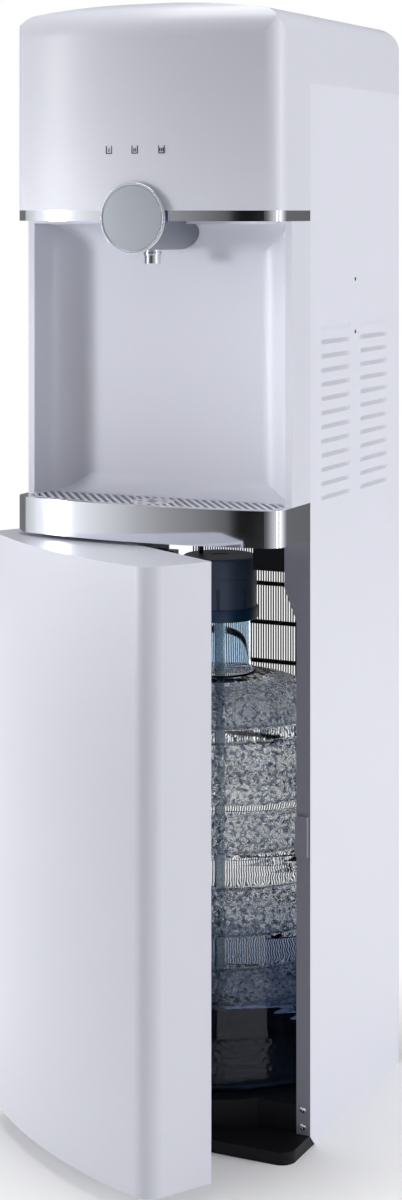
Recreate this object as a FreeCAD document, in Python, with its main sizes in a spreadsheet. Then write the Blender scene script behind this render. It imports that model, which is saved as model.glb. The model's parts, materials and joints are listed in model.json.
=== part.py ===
import FreeCAD, Part
import math
import os
import re
import Sketcher

# Bottom load water cooler, in millimetres.
# Origin: on the floor, at the middle of the base's footprint.
# +Z is up, the front faces -Y and +X is to the viewer's right.
# The door stands open, as it is shown.
# A tool that cuts runs 1 mm past the faces that it cuts, or more.

Vector = FreeCAD.Vector

# Each driving size has its own name and is written once.
DRIVING_SIZES = {
    # cabinet
    "case_width": 295, "case_depth": 254, "panel_height": 1061.5, "sheet_gauge": 1,
    "panel_fit": 0.2, "panel_chamfer": 12, "rear_flange": 15, "rear_panel_gauge": 1,
    # louvres in the side panels
    "louvre_pitch": 14.3, "louvre_rows": 13, "louvre_bottom": 642, "louvre_slot": 4.5,
    "louvre_front": 28, "louvre_length": 80, "louvre_column_pitch": 108.4,
    "rivet_radius": 2.2, "rivet_back": 123.4, "rivet_low": 808, "rivet_high": 863,
    # black moulded base and bottle platform
    "base_nose": 50, "base_lip": 12.5, "platform_height": 40, "base_corner": 15,
    "base_wall": 4, "platform_clear": 4, "platform_gauge": 3, "base_rib": 4,
    "base_ribs": 3,
    # bowed front shared by the head, the tray and the door
    "bow_reach": 95.5, "bow_radius": 563, "front_corner": 20, "side_return": 4.2,
    # grey posts beside the bottle bay
    "post_width": 14, "post_wide": 27, "post_gauge": 2, "post_leg": 25,
    "post_taper_low": 524.5, "post_taper_high": 556.4, "post_screw_radius": 3.2,
    "post_screw_low": 20.7, "post_screw_pitch": 17.3, "screw_head": 1.4,
    # deck over the bottle bay, shelf under the tanks
    "deck_rise": 11.3, "deck_gauge": 1.2, "deck_flange": 10,
    "shelf_clearance": 44, "shelf_gauge": 2, "shelf_flange": 14, "shelf_setback": 40,
    # drip tray
    "tray_bottom": 607.5, "tray_height": 36, "tray_wall": 2, "tray_rim": 7.5,
    "tray_rim_depth": 6, "tray_shelf": 22, "tray_rear_corner": 16, "basin_wall": 1.8,
    "basin_gap": 0.3, "grille_gauge": 3, "grille_border": 4,
    "slot_width": 4.2, "slot_pitch": 9.2, "slot_slant": 54,
    "drain_disc": 22, "drain_hole": 6, "drain_ring": 14, "drain_small_hole": 3.2,
    "drain_small_holes": 6,
    # alcove
    "alcove_side_reach": 47, "alcove_rim": 7, "alcove_wall": 3, "alcove_corner": 45,
    "alcove_top_cove": 30, "alcove_bottom_cove": 20,
    # chrome band and head
    "band_bottom": 924, "band_height": 10.5, "band_wall": 2.5, "head_floor_gauge": 2.5,
    "cover_height": 68.5, "cover_wall": 3, "crown_rise": 11, "front_roll": 35,
    "top_side_round": 24, "rear_round": 29,
    # tap, with its axis along Y, a little above the band's lower edge
    "tap_rise": 3, "disc_reach": 101.5, "disc_radius": 32.8, "disc_gauge": 3.2,
    "ring_width": 2.4, "button_travel": 2.2, "barrel_radius": 32.5, "cutout_gap": 0.3,
    "stem_radius": 6, "stem_fit": 0.06, "spring_radius": 9.4, "spring_wall": 2.4,
    "spring_pocket": 10, "spring_fit": 0.4, "switch_setback": 4,
    "stem_reach": 17.5, "switch_half": 6.5, "switch_height": 20, "switch_depth": 17,
    "switch_gap": 0.3, "nozzle_back": 45.5, "nozzle_radius": 8.4, "nozzle_bore": 5,
    "nozzle_drop": 46, "nozzle_collar": 10.6, "nozzle_collar_gauge": 3, "nozzle_seat": 22,
    "nozzle_collar_gap": 1.5,
    "inlet_offset": 19, "inlet_radius": 6, "inlet_height": 35, "inlet_back": 77,
    # key icons
    "icon_height": 991.5, "icon_pitch": 29, "icon_size": 7, "icon_line": 1, "icon_proud": 0.3,
    "mark_pitch": 1.8,
    # control board behind the icons
    "board_half": 50, "board_height": 56, "board_gauge": 1.6, "board_back": 15.5,
    "spacer_radius": 3, "spacer_half": 42, "spacer_rise": 20,
    # door
    "door_bottom": 18.5, "door_gap": 3.5, "door_wall": 3, "hinge_inset": 5.7,
    "hinge_ahead": 11.9, "door_open": 30.92, "boss_radius": 5.6, "boss_height": 20,
    "pin_radius": 2.5, "pin_fit": 0.05, "pin_flange": 5, "pin_flange_gauge": 3.2,
    "liner_ahead": 45, "liner_gauge": 3, "catch_bottom": 290, "catch_height": 40,
    "catch_width": 14, "catch_depth": 11, "catch_gap": 0.3, "strike_gap": 1,
    # bottle, on its own upright axis
    "bottle_back": 105, "bottle_radius": 132, "bottle_wall": 1.5, "bottle_foot": 112,
    "bottle_edge": 18, "bottle_shoulder": 385, "dome_rise": 57, "neck_flare": 18,
    "neck_radius": 32.5, "neck_top": 520,
    "rib_depth": 4, "rib_pitch": 58, "rib_count": 5, "rib_half": 9, "rib_first": 96,
    # probe that draws the water
    "collar_bottom": 502, "collar_top": 568, "collar_radius": 39.5, "collar_wall": 3,
    "collar_ring": 1, "collar_ring_height": 13, "collar_slits": 8, "slit_turn": 22.5,
    "slit_width": 2.2, "slit_height": 21, "slit_depth": 2, "tube_radius": 5.85,
    "tube_wall": 1.2, "tube_foot": 52, "hose_offset": 22, "hose_radius": 2.6,
    "hose_bore": 1.6, "grommet_radius": 7, "grommet_groove": 5, "grommet_lip": 1.5,
    "hanger_width": 49, "hanger_side_gap": 13.5, "hanger_depth": 30, "hanger_bottom": 572,
    "hanger_wall": 10, "hanger_front_wall": 5, "hanger_top_wall": 6,
    # cooling and heating
    "compressor_side_gap": 14.5, "compressor_back": 158, "compressor_radius": 60,
    "compressor_height": 150, "compressor_round": 24, "compressor_wall": 11,
    "foot_plate": 3, "foot_margin": 6, "foot_reach": 56, "mount_radius": 9,
    "mount_height": 9, "mount_setback": 10, "relay_width": 30, "relay_depth": 26,
    "relay_height": 44, "relay_gap": 0.1, "pump_side_gap": 30.5, "pump_back": 165,
    "pump_radius": 21, "pump_height": 70, "tank_back": 150, "tank_side_gap": 2.5,
    "cold_radius": 55, "cold_height": 165, "foam_radius": 72, "foam_floor": 12,
    "foam_fit": 0.3, "tank_gauge": 0.8, "coil_radius": 3, "coil_pitch": 11,
    "coil_turns": 9, "coil_fit": 0.1, "coil_rise": 4, "hot_radius": 46, "hot_stand": 10,
    "hot_stand_wall": 8, "heater_gauge": 3, "heater_height": 30, "heater_rise": 24,
    "thermostat_radius": 8, "thermostat_gauge": 6, "thermostat_pitch": 20,
    "valve_size": 30, "valve_height": 26, "valve_inner": 4, "feed_radius": 4.5,
    "feed_bore": 2.5, "feed_bend": 20, "feed_rise": 13, "line_bend": 14,
    "suction_rise": 96, "delivery_radius": 3.5, "delivery_bend": 6,
    "delivery_side_gap": 9.5,
    # wire condenser across the open back of the bay
    "serpent_side_gap": 51.5, "serpent_tube": 2.5, "serpent_pitch": 43.5, "serpent_low": 81,
    "serpent_runs": 12, "serpent_ahead": 9, "wire_radius": 0.8, "wire_pitch": 6,
    "wire_low": 46, "wire_high": 598, "bracket_depth": 12, "bracket_height": 16,
    # rear of the cabinet
    "bezel_width": 62, "bezel_height": 34, "bezel_gauge": 9, "bezel_lip": 2,
    "rocker_width": 20, "rocker_height": 26, "rocker_gap": 0.6, "rocker_pitch": 26,
    "rocker_gauge": 2.2, "rocker_sink": 0.6, "rocker_hub": 2.4, "rocker_hub_sink": 1.4,
    "rocker_well": 6, "rear_part_inset": 67.5, "switch_level": 980, "gland_level": 680,
    "gland_radius": 9, "gland_flange": 13, "gland_lip": 2, "gland_bore": 4,
    "fitting_reach": 6, "drain_level": 870, "drain_plug_radius": 9,
    "drain_plug_head": 13, "drain_plug_gauge": 6, "rear_screw_radius": 4,
    "rear_screw_pitch": 110, "rear_screw_rise": 20, "rear_screws": 4,
}

# Places worked out from the driving sizes.
FRONT = "(base_nose / 2 - case_depth / 2)"
REAR = "(base_nose / 2 + case_depth / 2)"
BASE_FRONT = "(-base_nose / 2 - case_depth / 2)"
BOW_FRONT = f"({FRONT} - bow_reach)"
SIDE = "(case_width / 2)"
INNER = "(case_width / 2 - sheet_gauge)"
FITTED = "(case_width / 2 - sheet_gauge - panel_fit)"
DOOR_TOP = "(tray_bottom - door_gap)"
DOOR_BACK = f"({FRONT} - side_return)"
TRAY_TOP = "(tray_bottom + tray_height)"
DECK_BOTTOM = "(tray_bottom + deck_rise)"
DECK_TOP = "(tray_bottom + deck_rise + deck_gauge)"
SHELF_BOTTOM = f"({DECK_TOP} + mount_height + foot_plate + compressor_height + shelf_clearance)"
SHELF_TOP = f"({SHELF_BOTTOM} + shelf_gauge)"
BAND_TOP = "(band_bottom + band_height)"
HEAD_TOP = "(panel_height + cover_height + crown_rise)"
HINGE_X = "(hinge_inset - case_width / 2)"
HINGE_Y = f"({FRONT} - hinge_ahead)"
TAP_HEIGHT = "(band_bottom + tap_rise)"
DISC_FRONT = f"({FRONT} - disc_reach)"
DISC_BACK = f"({DISC_FRONT} + disc_gauge)"
BARREL_FRONT = f"({DISC_BACK} + button_travel)"
BOTTLE_Y = f"({FRONT} + bottle_back)"
CONDENSER_Y = f"({REAR} - serpent_ahead)"
TANK_Y = f"({FRONT} + tank_back)"
COLD_X = f"(foam_radius + tank_side_gap - {INNER})"
HOT_X = "(foam_radius + tank_side_gap / 2)"
COMPRESSOR_X = f"({INNER} - compressor_radius - compressor_side_gap)"
PUMP_X = f"(pump_radius + pump_side_gap - {INNER})"
TANK_TOP = f"({SHELF_TOP} + foam_floor + cold_height)"
REAR_SKIN = f"({REAR} - rear_panel_gauge - sheet_gauge)"
REAR_PART_X = f"({SIDE} - rear_part_inset)"

document = FreeCAD.newDocument("WaterCooler")
sheet = document.addObject("Spreadsheet::Sheet", "Sizes")
for row, (alias, amount) in enumerate(DRIVING_SIZES.items(), 1):
    sheet.set(f"A{row}", alias.replace("_", " "))
    sheet.set(f"B{row}", str(amount))
    sheet.setAlias(f"B{row}", alias)
document.recompute()

NODES = []
NAME_PATTERN = re.compile(r"[a-z][a-z_]*")


def sheet_text(text):
    """An expression in which every size's name points at its cell."""
    def link(match):
        word = match.group(0)
        return f"Sizes.{word}" if word in DRIVING_SIZES else word
    return NAME_PATTERN.sub(link, str(text))


def size(alias):
    """The present number in a cell of the sheet."""
    return float(sheet.get(alias))


def bind(item, texts):
    for key, text in texts.items():
        item.setExpression(key, sheet_text(text))
    return item


def at(item, x, y, z):
    return bind(item, {"Placement.Base.x": x, "Placement.Base.y": y, "Placement.Base.z": z})


def box(x_low, x_high, y_low, y_high, z_low, z_high):
    """An upright block between two corners."""
    item = document.addObject("Part::Box", "Block")
    bind(item, {"Length": f"({x_high}) - ({x_low})", "Width": f"({y_high}) - ({y_low})",
                "Height": f"({z_high}) - ({z_low})"})
    return at(item, x_low, y_low, z_low)


TURNS = {
    "X": FreeCAD.Rotation(Vector(0, 1, 0), 90),
    "Y": FreeCAD.Rotation(Vector(1, 0, 0), -90),
    "Z": FreeCAD.Rotation(),
}


def rod(radius, length, x, y, z, along="Z"):
    """A round bar that starts at a point and runs along one axis."""
    item = document.addObject("Part::Cylinder", "Rod")
    item.Placement = FreeCAD.Placement(Vector(), TURNS[along])
    bind(item, {"Radius": radius, "Height": length})
    return at(item, x, y, z)


def ring(outer, inner, length, x, y, z, along="Z"):
    """A round tube, cut right through."""
    return cut(rod(outer, length, x, y, z, along), rod(inner, length, x, y, z, along))


def union(*parts):
    item = document.addObject("Part::MultiFuse", "Union")
    item.Shapes = list(parts)
    return item


def common(*parts):
    item = document.addObject("Part::MultiCommon", "Shared")
    item.Shapes = list(parts)
    return item


def group(*parts):
    """Several separate solids kept together as one node."""
    item = document.addObject("Part::Compound", "Set")
    item.Links = list(parts)
    return item


def cut(base, *tools):
    item = document.addObject("Part::Cut", "Remainder")
    item.Base = base
    item.Tool = tools[0] if len(tools) == 1 else group(*tools)
    return item


def node(label, item):
    """Names a finished piece, which is written to its own file."""
    item.Label = label
    NODES.append(item)
    return item


def rounded(base, choices):
    """Rounds the edges that each (radius, test) picks."""
    document.recompute()
    edges = []
    for index, edge in enumerate(base.Shape.Edges, 1):
        for radius, test in choices:
            if test(edge):
                edges.append((index, radius, radius))
                break
    item = document.addObject("Part::Fillet", "Rounded")
    item.Base = base
    item.Edges = edges
    return item


def runs_along(edge, axis):
    """True for an edge whose ends differ along one axis only."""
    first, last = edge.Vertexes[0].Point, edge.Vertexes[-1].Point
    span = last - first
    others = [abs(getattr(span, name)) for name in "xyz" if name != axis]
    return max(others) < 0.001 < abs(getattr(span, axis))


def outline(points, turn):
    """A closed sketch of straight lines whose corners are bound to sizes."""
    sketch = document.addObject("Sketcher::SketchObject", "Outline")
    sketch.Placement = FreeCAD.Placement(Vector(), turn)
    count = len(points)
    start = [Vector(math.cos(math.tau * i / count), math.sin(math.tau * i / count), 0)
             for i in range(count)]
    for i in range(count):
        sketch.addGeometry(Part.LineSegment(start[i], start[(i + 1) % count]), False)
    for i in range(count):
        sketch.addConstraint(Sketcher.Constraint("Coincident", i, 2, (i + 1) % count, 1))
    for i, (across, up) in enumerate(points):
        for kind, text, first in (("DistanceX", across, start[i].x), ("DistanceY", up, start[i].y)):
            number = sketch.addConstraint(Sketcher.Constraint(kind, -1, 1, i, 1, first))
            sketch.renameConstraint(number, f"{kind}{i}")
            bind(sketch, {f"Constraints.{kind}{i}": text})
    return sketch


UPRIGHT = FreeCAD.Rotation(Vector(1, 0, 0), 90)


def front_prism(points, start, length):
    """A flat shape seen from the front, points as (x, z), carried backwards."""
    sketch = outline(points, UPRIGHT)
    bind(sketch, {"Placement.Base.y": start})
    item = document.addObject("Part::Extrusion", "Prism")
    item.Base = sketch
    item.DirMode = "Custom"
    item.Dir = Vector(0, 1, 0)
    item.Solid = True
    return bind(item, {"LengthFwd": length})


def turned(points, x, y):
    """A shape turned about an upright axis, points as (radius, z)."""
    item = document.addObject("Part::Revolution", "Turned")
    item.Source = outline(points, UPRIGHT)
    item.Axis = Vector(0, 0, 1)
    item.Base = Vector(0, 0, 0)
    item.Angle = 360
    item.Solid = True
    return at(item, x, y, "0")


def bow_block(inset, z_low, z_high, back, rear_round=0):
    """A block with the bowed front and round corners, all set in from the outline."""
    half = f"(case_width / 2 - ({inset}))"
    slab = box(f"-{half}", half, f"{BOW_FRONT} + ({inset})", back, z_low, z_high)
    drum = rod(f"bow_radius - ({inset})", f"({z_high}) - ({z_low})", "0", f"{BOW_FRONT} + bow_radius", z_low)
    bowed = common(slab, drum)
    document.recompute()
    depth_in = size("case_width") / 2 - slab.Length.Value / 2
    limit = bowed.Shape.BoundBox.YMax - 1

    def front_corner(edge):
        return runs_along(edge, "z") and edge.CenterOfMass.y < limit

    def rear_corner(edge):
        return runs_along(edge, "z") and edge.CenterOfMass.y > limit
    choices = [(size("front_corner") - depth_in, front_corner)]
    if rear_round:
        choices.append((rear_round, rear_corner))
    return rounded(bowed, choices)


def bent_tube(points, radius, bend, bore=0):
    """A tube along straight runs joined by arcs of one radius."""
    edges = []
    here = Vector(*points[0])
    for i in range(1, len(points) - 1):
        corner = Vector(*points[i])
        before = (Vector(*points[i - 1]) - corner).normalize()
        after = (Vector(*points[i + 1]) - corner).normalize()
        half = before.getAngle(after) / 2
        reach = bend / math.tan(half)
        start = corner + before * reach
        end = corner + after * reach
        middle = corner + (before + after).normalize() * (bend / math.sin(half) - bend)
        edges += [Part.LineSegment(here, start).toShape(), Part.Arc(start, middle, end).toShape()]
        here = end
    edges.append(Part.LineSegment(here, Vector(*points[-1])).toShape())
    path = Part.Wire(edges)
    first = Vector(*points[1]) - Vector(*points[0])

    def swept(section_radius):
        section = Part.Wire([Part.makeCircle(section_radius, Vector(*points[0]), first)])
        return path.makePipeShell([section], True, False)
    shape = swept(radius)
    if bore:
        shape = shape.cut(swept(bore))
    return shape


def feature(shape):
    item = document.addObject("Part::Feature", "Piece")
    item.Shape = shape
    return item


def front_plane():
    return size("base_nose") / 2 - size("case_depth") / 2


def rear_plane():
    return size("base_nose") / 2 + size("case_depth") / 2


def deck_top():
    return size("tray_bottom") + size("deck_rise") + size("deck_gauge")


def shelf_bottom():
    compressor_top = deck_top() + size("mount_height") + size("foot_plate") + size("compressor_height")
    return compressor_top + size("shelf_clearance")


def shelf_top():
    return shelf_bottom() + size("shelf_gauge")


def tank_top():
    return shelf_top() + size("foam_floor") + size("cold_height")


def inner_face():
    return size("case_width") / 2 - size("sheet_gauge")


# ---------------------------------------------------------------- cabinet

def make_base():
    """A low pan with a raised platform and a round nose under the bottle."""
    lip = box(f"-{FITTED}", FITTED, BASE_FRONT, REAR, "0", "base_lip")
    document.recompute()
    limit = lip.Shape.BoundBox.YMin + 1

    def corner(edge):
        return runs_along(edge, "z") and edge.CenterOfMass.y < limit
    lip = rounded(lip, [(size("base_corner"), corner)])
    half = f"({INNER} - post_gauge - panel_fit)"

    def footprint(inset, low, high):
        block = box(f"-{half} + {inset}", f"{half} - {inset}", f"{FRONT} + post_gauge + {inset}",
                    f"{REAR} - sheet_gauge - panel_fit - {inset}", low, high)
        nose = rod(f"bottle_radius + platform_clear - {inset}", f"{high} - {low}", "0", BOTTLE_Y, low)
        return union(block, nose)
    seat = "(platform_height - platform_gauge)"
    pan = cut(union(lip, footprint("0", "base_lip", seat)), footprint("base_wall", "base_wall", f"{seat} + 1"))
    ribs = []
    for step in range(1, int(size("base_ribs")) + 1):
        share = f"{step} / (base_ribs + 1)"
        along = f"-{half} + 2 * {half} * {share}"
        across = f"{FRONT} + post_gauge + case_depth * {share}"
        ribs.append(box(along, f"{along} + base_rib", f"{FRONT} + post_gauge + 1",
                        f"{REAR} - sheet_gauge - base_wall", "base_wall - 1", seat))
        ribs.append(box(f"-{half} + 1", f"{half} - 1", across, f"{across} + base_rib", "base_wall - 1", seat))
    node("base", union(pan, *ribs))
    node("bottle_platform", footprint("0", seat, "platform_height"))


def make_side_panel(side):
    """A folded steel side with a rear flange, louvres and a cut front corner."""
    sign = 1 if side == "right" else -1

    def across(inner, outer):
        return (inner, outer) if sign > 0 else (f"-({outer})", f"-({inner})")
    web = box(*across(INNER, SIDE), FRONT, REAR, "0", "panel_height")
    flange = box(*across(f"{SIDE} - rear_flange", INNER), f"{REAR} - sheet_gauge", REAR,
                 "platform_height", "panel_height")
    slots = []
    for column in range(2):
        start = f"{FRONT} + louvre_front + {column} * louvre_column_pitch"
        for step in range(int(size("louvre_rows"))):
            low = f"louvre_bottom + {step} * louvre_pitch"
            slots.append(box(*across(f"{INNER} - 1", f"{SIDE} + 1"), start, f"{start} + louvre_length",
                             low, f"{low} + louvre_slot"))
    for height in ("rivet_low", "rivet_high"):
        start = f"{INNER} - 1" if sign > 0 else f"-{SIDE} - 1"
        slots.append(rod("rivet_radius", "sheet_gauge + 2", start, f"{FRONT} + rivet_back", height, "X"))
    wedge = chamfer_wedge(sign)
    node(f"side_panel_{side}", cut(union(web, flange), *slots, wedge))


def chamfer_wedge(sign):
    """The corner that is cut off the foot of a panel, seen from the side."""
    turn = FreeCAD.Rotation(Vector(0, 0, 1), 90).multiply(UPRIGHT)
    sketch = outline([(f"{FRONT} - 1", "-1"), (f"{FRONT} + panel_chamfer + 1", "-1"),
                      (f"{FRONT} - 1", "panel_chamfer + 1")], turn)
    start = f"{INNER} - 1" if sign > 0 else f"-{SIDE} - 1"
    bind(sketch, {"Placement.Base.x": start})
    item = document.addObject("Part::Extrusion", "Prism")
    item.Base = sketch
    item.DirMode = "Custom"
    item.Dir = Vector(1, 0, 0)
    item.Solid = True
    return bind(item, {"LengthFwd": "sheet_gauge + 2"})


def make_post(side):
    """A grey post beside the bay, wider at its head, with a leg along the panel."""
    sign = "" if side == "right" else "-"
    points = [(f"{sign}{INNER}", "base_lip"), (f"{sign}({INNER} - post_width)", "base_lip"),
              (f"{sign}({INNER} - post_width)", "post_taper_low"),
              (f"{sign}({INNER} - post_wide)", "post_taper_high"),
              (f"{sign}({INNER} - post_wide)", "tray_bottom"), (f"{sign}{INNER}", "tray_bottom")]
    face = front_prism(points, FRONT, "post_gauge")
    ends = [f"{sign}({INNER} - post_gauge)", f"{sign}{INNER}"]
    low, high = ends if side == "right" else ends[::-1]
    leg = box(low, high, FRONT, f"{FRONT} + post_leg", "base_lip", "tray_bottom")
    node(f"door_post_{side}", union(face, leg))


def post_screws():
    heads = []
    for sign in ("", "-"):
        for step in range(2):
            x = f"{sign}({INNER} - post_width / 2)"
            heads.append(rod("post_screw_radius", "screw_head", x, f"{FRONT} - screw_head",
                             f"post_screw_low + {step} * post_screw_pitch", "Y"))
    return heads


def make_deck():
    """The steel deck over the bottle bay, with flanges down its sides."""
    plate = box(f"-{FITTED}", FITTED, f"{FRONT} + post_gauge + panel_fit", REAR_SKIN, DECK_BOTTOM, DECK_TOP)
    flanges = [box(f"-{FITTED}", f"-{FITTED} + deck_gauge", f"{FRONT} + post_leg + 1", REAR_SKIN,
                   f"{DECK_BOTTOM} - deck_flange", DECK_BOTTOM),
               box(f"{FITTED} - deck_gauge", FITTED, f"{FRONT} + post_leg + 1", REAR_SKIN,
                   f"{DECK_BOTTOM} - deck_flange", DECK_BOTTOM)]
    hole = rod("grommet_groove", "deck_gauge + 2", "-hose_offset", BOTTLE_Y, f"{DECK_BOTTOM} - 1")
    node("bay_deck", cut(union(plate, *flanges), hole))


def make_shelf():
    """The shelf under the tanks, clear of the compressor, with flanges down its sides."""
    plate = box(f"-{FITTED}", FITTED, f"{FRONT} + shelf_setback", REAR_SKIN, SHELF_BOTTOM, SHELF_TOP)
    flanges = [box(f"-{FITTED}", f"-{FITTED} + shelf_gauge", f"{FRONT} + shelf_setback", REAR_SKIN,
                   f"{SHELF_BOTTOM} - shelf_flange", SHELF_BOTTOM),
               box(f"{FITTED} - shelf_gauge", FITTED, f"{FRONT} + shelf_setback", REAR_SKIN,
                   f"{SHELF_BOTTOM} - shelf_flange", SHELF_BOTTOM)]
    node("tank_shelf", union(plate, *flanges))


def make_rear_panel():
    """The upper back, inside the side panels' flanges."""
    back = f"{REAR} - sheet_gauge"
    plate = box(f"-{FITTED}", FITTED, REAR_SKIN, back, f"{DECK_BOTTOM} - deck_flange", "panel_height")
    start = f"{REAR_SKIN} - 1"
    through = "rear_panel_gauge + 2"
    window = box(f"{REAR_PART_X} - bezel_width / 2 + bezel_lip", f"{REAR_PART_X} + bezel_width / 2 - bezel_lip",
                 start, f"{back} + 1", "switch_level - bezel_height / 2 + bezel_lip",
                 "switch_level + bezel_height / 2 - bezel_lip")
    holes = [rod("gland_radius", through, REAR_PART_X, start, "gland_level", "Y"),
             rod("drain_plug_radius", through, f"-{REAR_PART_X}", start, "drain_level", "Y")]
    node("rear_panel", cut(plate, window, *holes))
    heads = post_screws()
    for sign in ("", "-"):
        for step in range(int(size("rear_screws"))):
            heads.append(rod("rear_screw_radius", "screw_head", f"{sign}({SIDE} - rear_flange / 2)", REAR,
                             f"{TRAY_TOP} + rear_screw_rise + {step} * rear_screw_pitch", "Y"))
    node("cabinet_screws", group(*heads))


# ---------------------------------------------------------------- tray and alcove

def make_tray():
    """The chrome tray front, the basin inside it and the slanted grille on top."""
    outer = bow_block("0", "tray_bottom", TRAY_TOP, FRONT)
    shelf = f"({FRONT} - tray_shelf)"
    rear_round = size("tray_rear_corner")
    pocket = bow_block("tray_wall", "tray_bottom + tray_wall", f"{TRAY_TOP} - tray_rim_depth",
                       f"{FRONT} - tray_wall")
    mouth = bow_block("tray_rim", f"{TRAY_TOP} - tray_rim_depth - 1", f"{TRAY_TOP} + 1", shelf, rear_round)
    node("tray_bezel", cut(outer, union(pocket, mouth)))

    edge = "(tray_rim + basin_gap)"
    floor = "tray_bottom + tray_wall"
    top = f"{TRAY_TOP} - grille_gauge"
    basin = bow_block(edge, floor, top, f"{shelf} - basin_gap", rear_round)
    hollow = bow_block(f"{edge} + basin_wall", f"{floor} + basin_wall", f"{top} + 1",
                       f"{shelf} - basin_gap - basin_wall", rear_round - size("basin_wall"))
    node("drip_basin", cut(basin, hollow))

    plate = bow_block(edge, top, TRAY_TOP, f"{shelf} - basin_gap", rear_round)
    field = bow_block(f"{edge} + grille_border", f"{top} - 1", f"{TRAY_TOP} + 1",
                      f"{shelf} - basin_gap - grille_border", rear_round - size("grille_border"))
    nozzle_y = f"{DISC_FRONT} + nozzle_back"
    disc = rod("drain_disc", "grille_gauge + 4", "0", nozzle_y, f"{top} - 2")
    slots = []
    reach = size("case_width") / 2 + size("bow_reach")
    steps = int(reach / size("slot_pitch"))
    for step in range(-steps, steps + 1):
        slot = document.addObject("Part::Box", "Slot")
        slot.Placement = FreeCAD.Placement(Vector(), FreeCAD.Rotation(Vector(0, 0, -1), size("slot_slant")))
        bind(slot, {"Length": "2 * bow_reach", "Width": "slot_width", "Height": "grille_gauge + 2",
                    "Placement.Rotation.Angle": "slot_slant"})
        at(slot, f"{step} * slot_pitch - cos(slot_slant) * bow_reach",
           f"{FRONT} - bow_reach / 2 + sin(slot_slant) * bow_reach", f"{top} - 1")
        slots.append(slot)
    openings = cut(common(group(*slots), field), disc)
    drains = [rod("drain_hole", "grille_gauge + 2", "0", nozzle_y, f"{top} - 1")]
    for step in range(int(size("drain_small_holes"))):
        angle = f"{step} * 360 / drain_small_holes"
        drains.append(rod("drain_small_hole", "grille_gauge + 2", f"cos({angle}) * drain_ring",
                          f"{nozzle_y} + sin({angle}) * drain_ring", f"{top} - 1"))
    node("drip_grille", cut(plate, openings, *drains))


def make_alcove():
    """The white recess behind the tap: side frames, round rear corners and coves."""
    sides = box(f"-{SIDE}", SIDE, f"{FRONT} - alcove_side_reach", FRONT, TRAY_TOP, "band_bottom")
    back = box(f"-{FITTED}", FITTED, FRONT, f"{FRONT} + alcove_wall", TRAY_TOP, "band_bottom")
    pocket = box(f"-{SIDE} + alcove_wall", f"{SIDE} - alcove_wall",
                 f"{FRONT} - alcove_side_reach + alcove_wall", f"{FRONT} + 2 * alcove_wall",
                 f"{TRAY_TOP} + alcove_wall", "band_bottom - alcove_wall")
    barrel = rod("barrel_radius + cutout_gap", f"{FRONT} - {BARREL_FRONT}", "0", BARREL_FRONT, TAP_HEIGHT, "Y")
    shell = cut(union(sides, back), alcove_hollow("0"), cut(pocket, alcove_hollow("alcove_wall")), barrel)
    node("alcove_liner", shell)


def alcove_hollow(grown):
    """The recess itself, or the same form grown by a wall."""
    half = f"({SIDE} - alcove_rim + {grown})"
    front = f"{FRONT} - 2 * alcove_side_reach"
    rear = f"{FRONT} + {grown}"
    low = f"{TRAY_TOP} - {grown}"
    high = f"band_bottom - alcove_wall + {grown}"
    plan = box(f"-{half}", half, front, rear, low, high)
    section = box(f"-{half} - 1", f"{half} + 1", front, rear, low, high)
    document.recompute()
    back_y = plan.Shape.BoundBox.YMax - 0.001
    middle_z = section.Shape.BoundBox.Center.z
    extra = plan.Shape.BoundBox.YMax - front_plane()

    def rear_upright(edge):
        return runs_along(edge, "z") and edge.CenterOfMass.y > back_y

    def rear_top(edge):
        return runs_along(edge, "x") and edge.CenterOfMass.y > back_y and edge.CenterOfMass.z > middle_z

    def rear_bottom(edge):
        return runs_along(edge, "x") and edge.CenterOfMass.y > back_y and edge.CenterOfMass.z < middle_z
    return common(rounded(plan, [(size("alcove_corner") + extra, rear_upright)]),
                  rounded(section, [(size("alcove_top_cove") + extra, rear_top),
                                    (size("alcove_bottom_cove") + extra, rear_bottom)]))


# ---------------------------------------------------------------- head

def head_envelope(inset):
    """The head's outer form, set in by an amount: bowed in plan, rolled and crowned on top."""
    top = f"({HEAD_TOP} - ({inset}))"
    low = "band_bottom - 10"
    plan = bow_block(inset, low, f"{top} + 1", f"{REAR} - ({inset})")
    drum = rod(f"bow_radius - ({inset})", f"{top} - (band_bottom - 20)", "0", f"{BOW_FRONT} + bow_radius",
               "band_bottom - 20")
    document.recompute()
    drum_top = drum.Shape.BoundBox.ZMax - 0.001
    depth_in = size("bow_radius") - drum.Radius.Value

    def drum_rim(edge):
        return edge.CenterOfMass.z > drum_top
    rolled = rounded(drum, [(size("front_roll") - depth_in, drum_rim)])

    half = f"(case_width / 2 - ({inset}))"
    slab = box(f"-{half}", half, f"{BOW_FRONT} - 5", f"{REAR} + 5", low, f"{top} + 5")
    crown_radius = "((case_width * case_width / 4 + crown_rise * crown_rise) / (2 * crown_rise))"
    crown = rod(f"{crown_radius} - ({inset})", f"{REAR} - {BOW_FRONT} + 10", "0", f"{BOW_FRONT} - 5",
                f"{HEAD_TOP} - {crown_radius}", "Y")
    crowned = common(slab, crown)
    document.recompute()
    high = crowned.Shape.BoundBox.ZMax - size("crown_rise") - 5

    def shoulder(edge):
        return runs_along(edge, "y") and edge.CenterOfMass.z > high
    crowned = rounded(crowned, [(size("top_side_round") - depth_in, shoulder)])

    block = box(f"-{SIDE} - 5", f"{SIDE} + 5", f"{BOW_FRONT} - 5", f"{REAR} - ({inset})", low, top)
    document.recompute()
    bounds = block.Shape.BoundBox

    def rear_top(edge):
        return (runs_along(edge, "x") and edge.CenterOfMass.z > bounds.ZMax - 0.001
                and edge.CenterOfMass.y > bounds.YMax - 0.001)
    block = rounded(block, [(size("rear_round") - depth_in, rear_top)])
    return common(plan, rolled, crowned, block)


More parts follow.
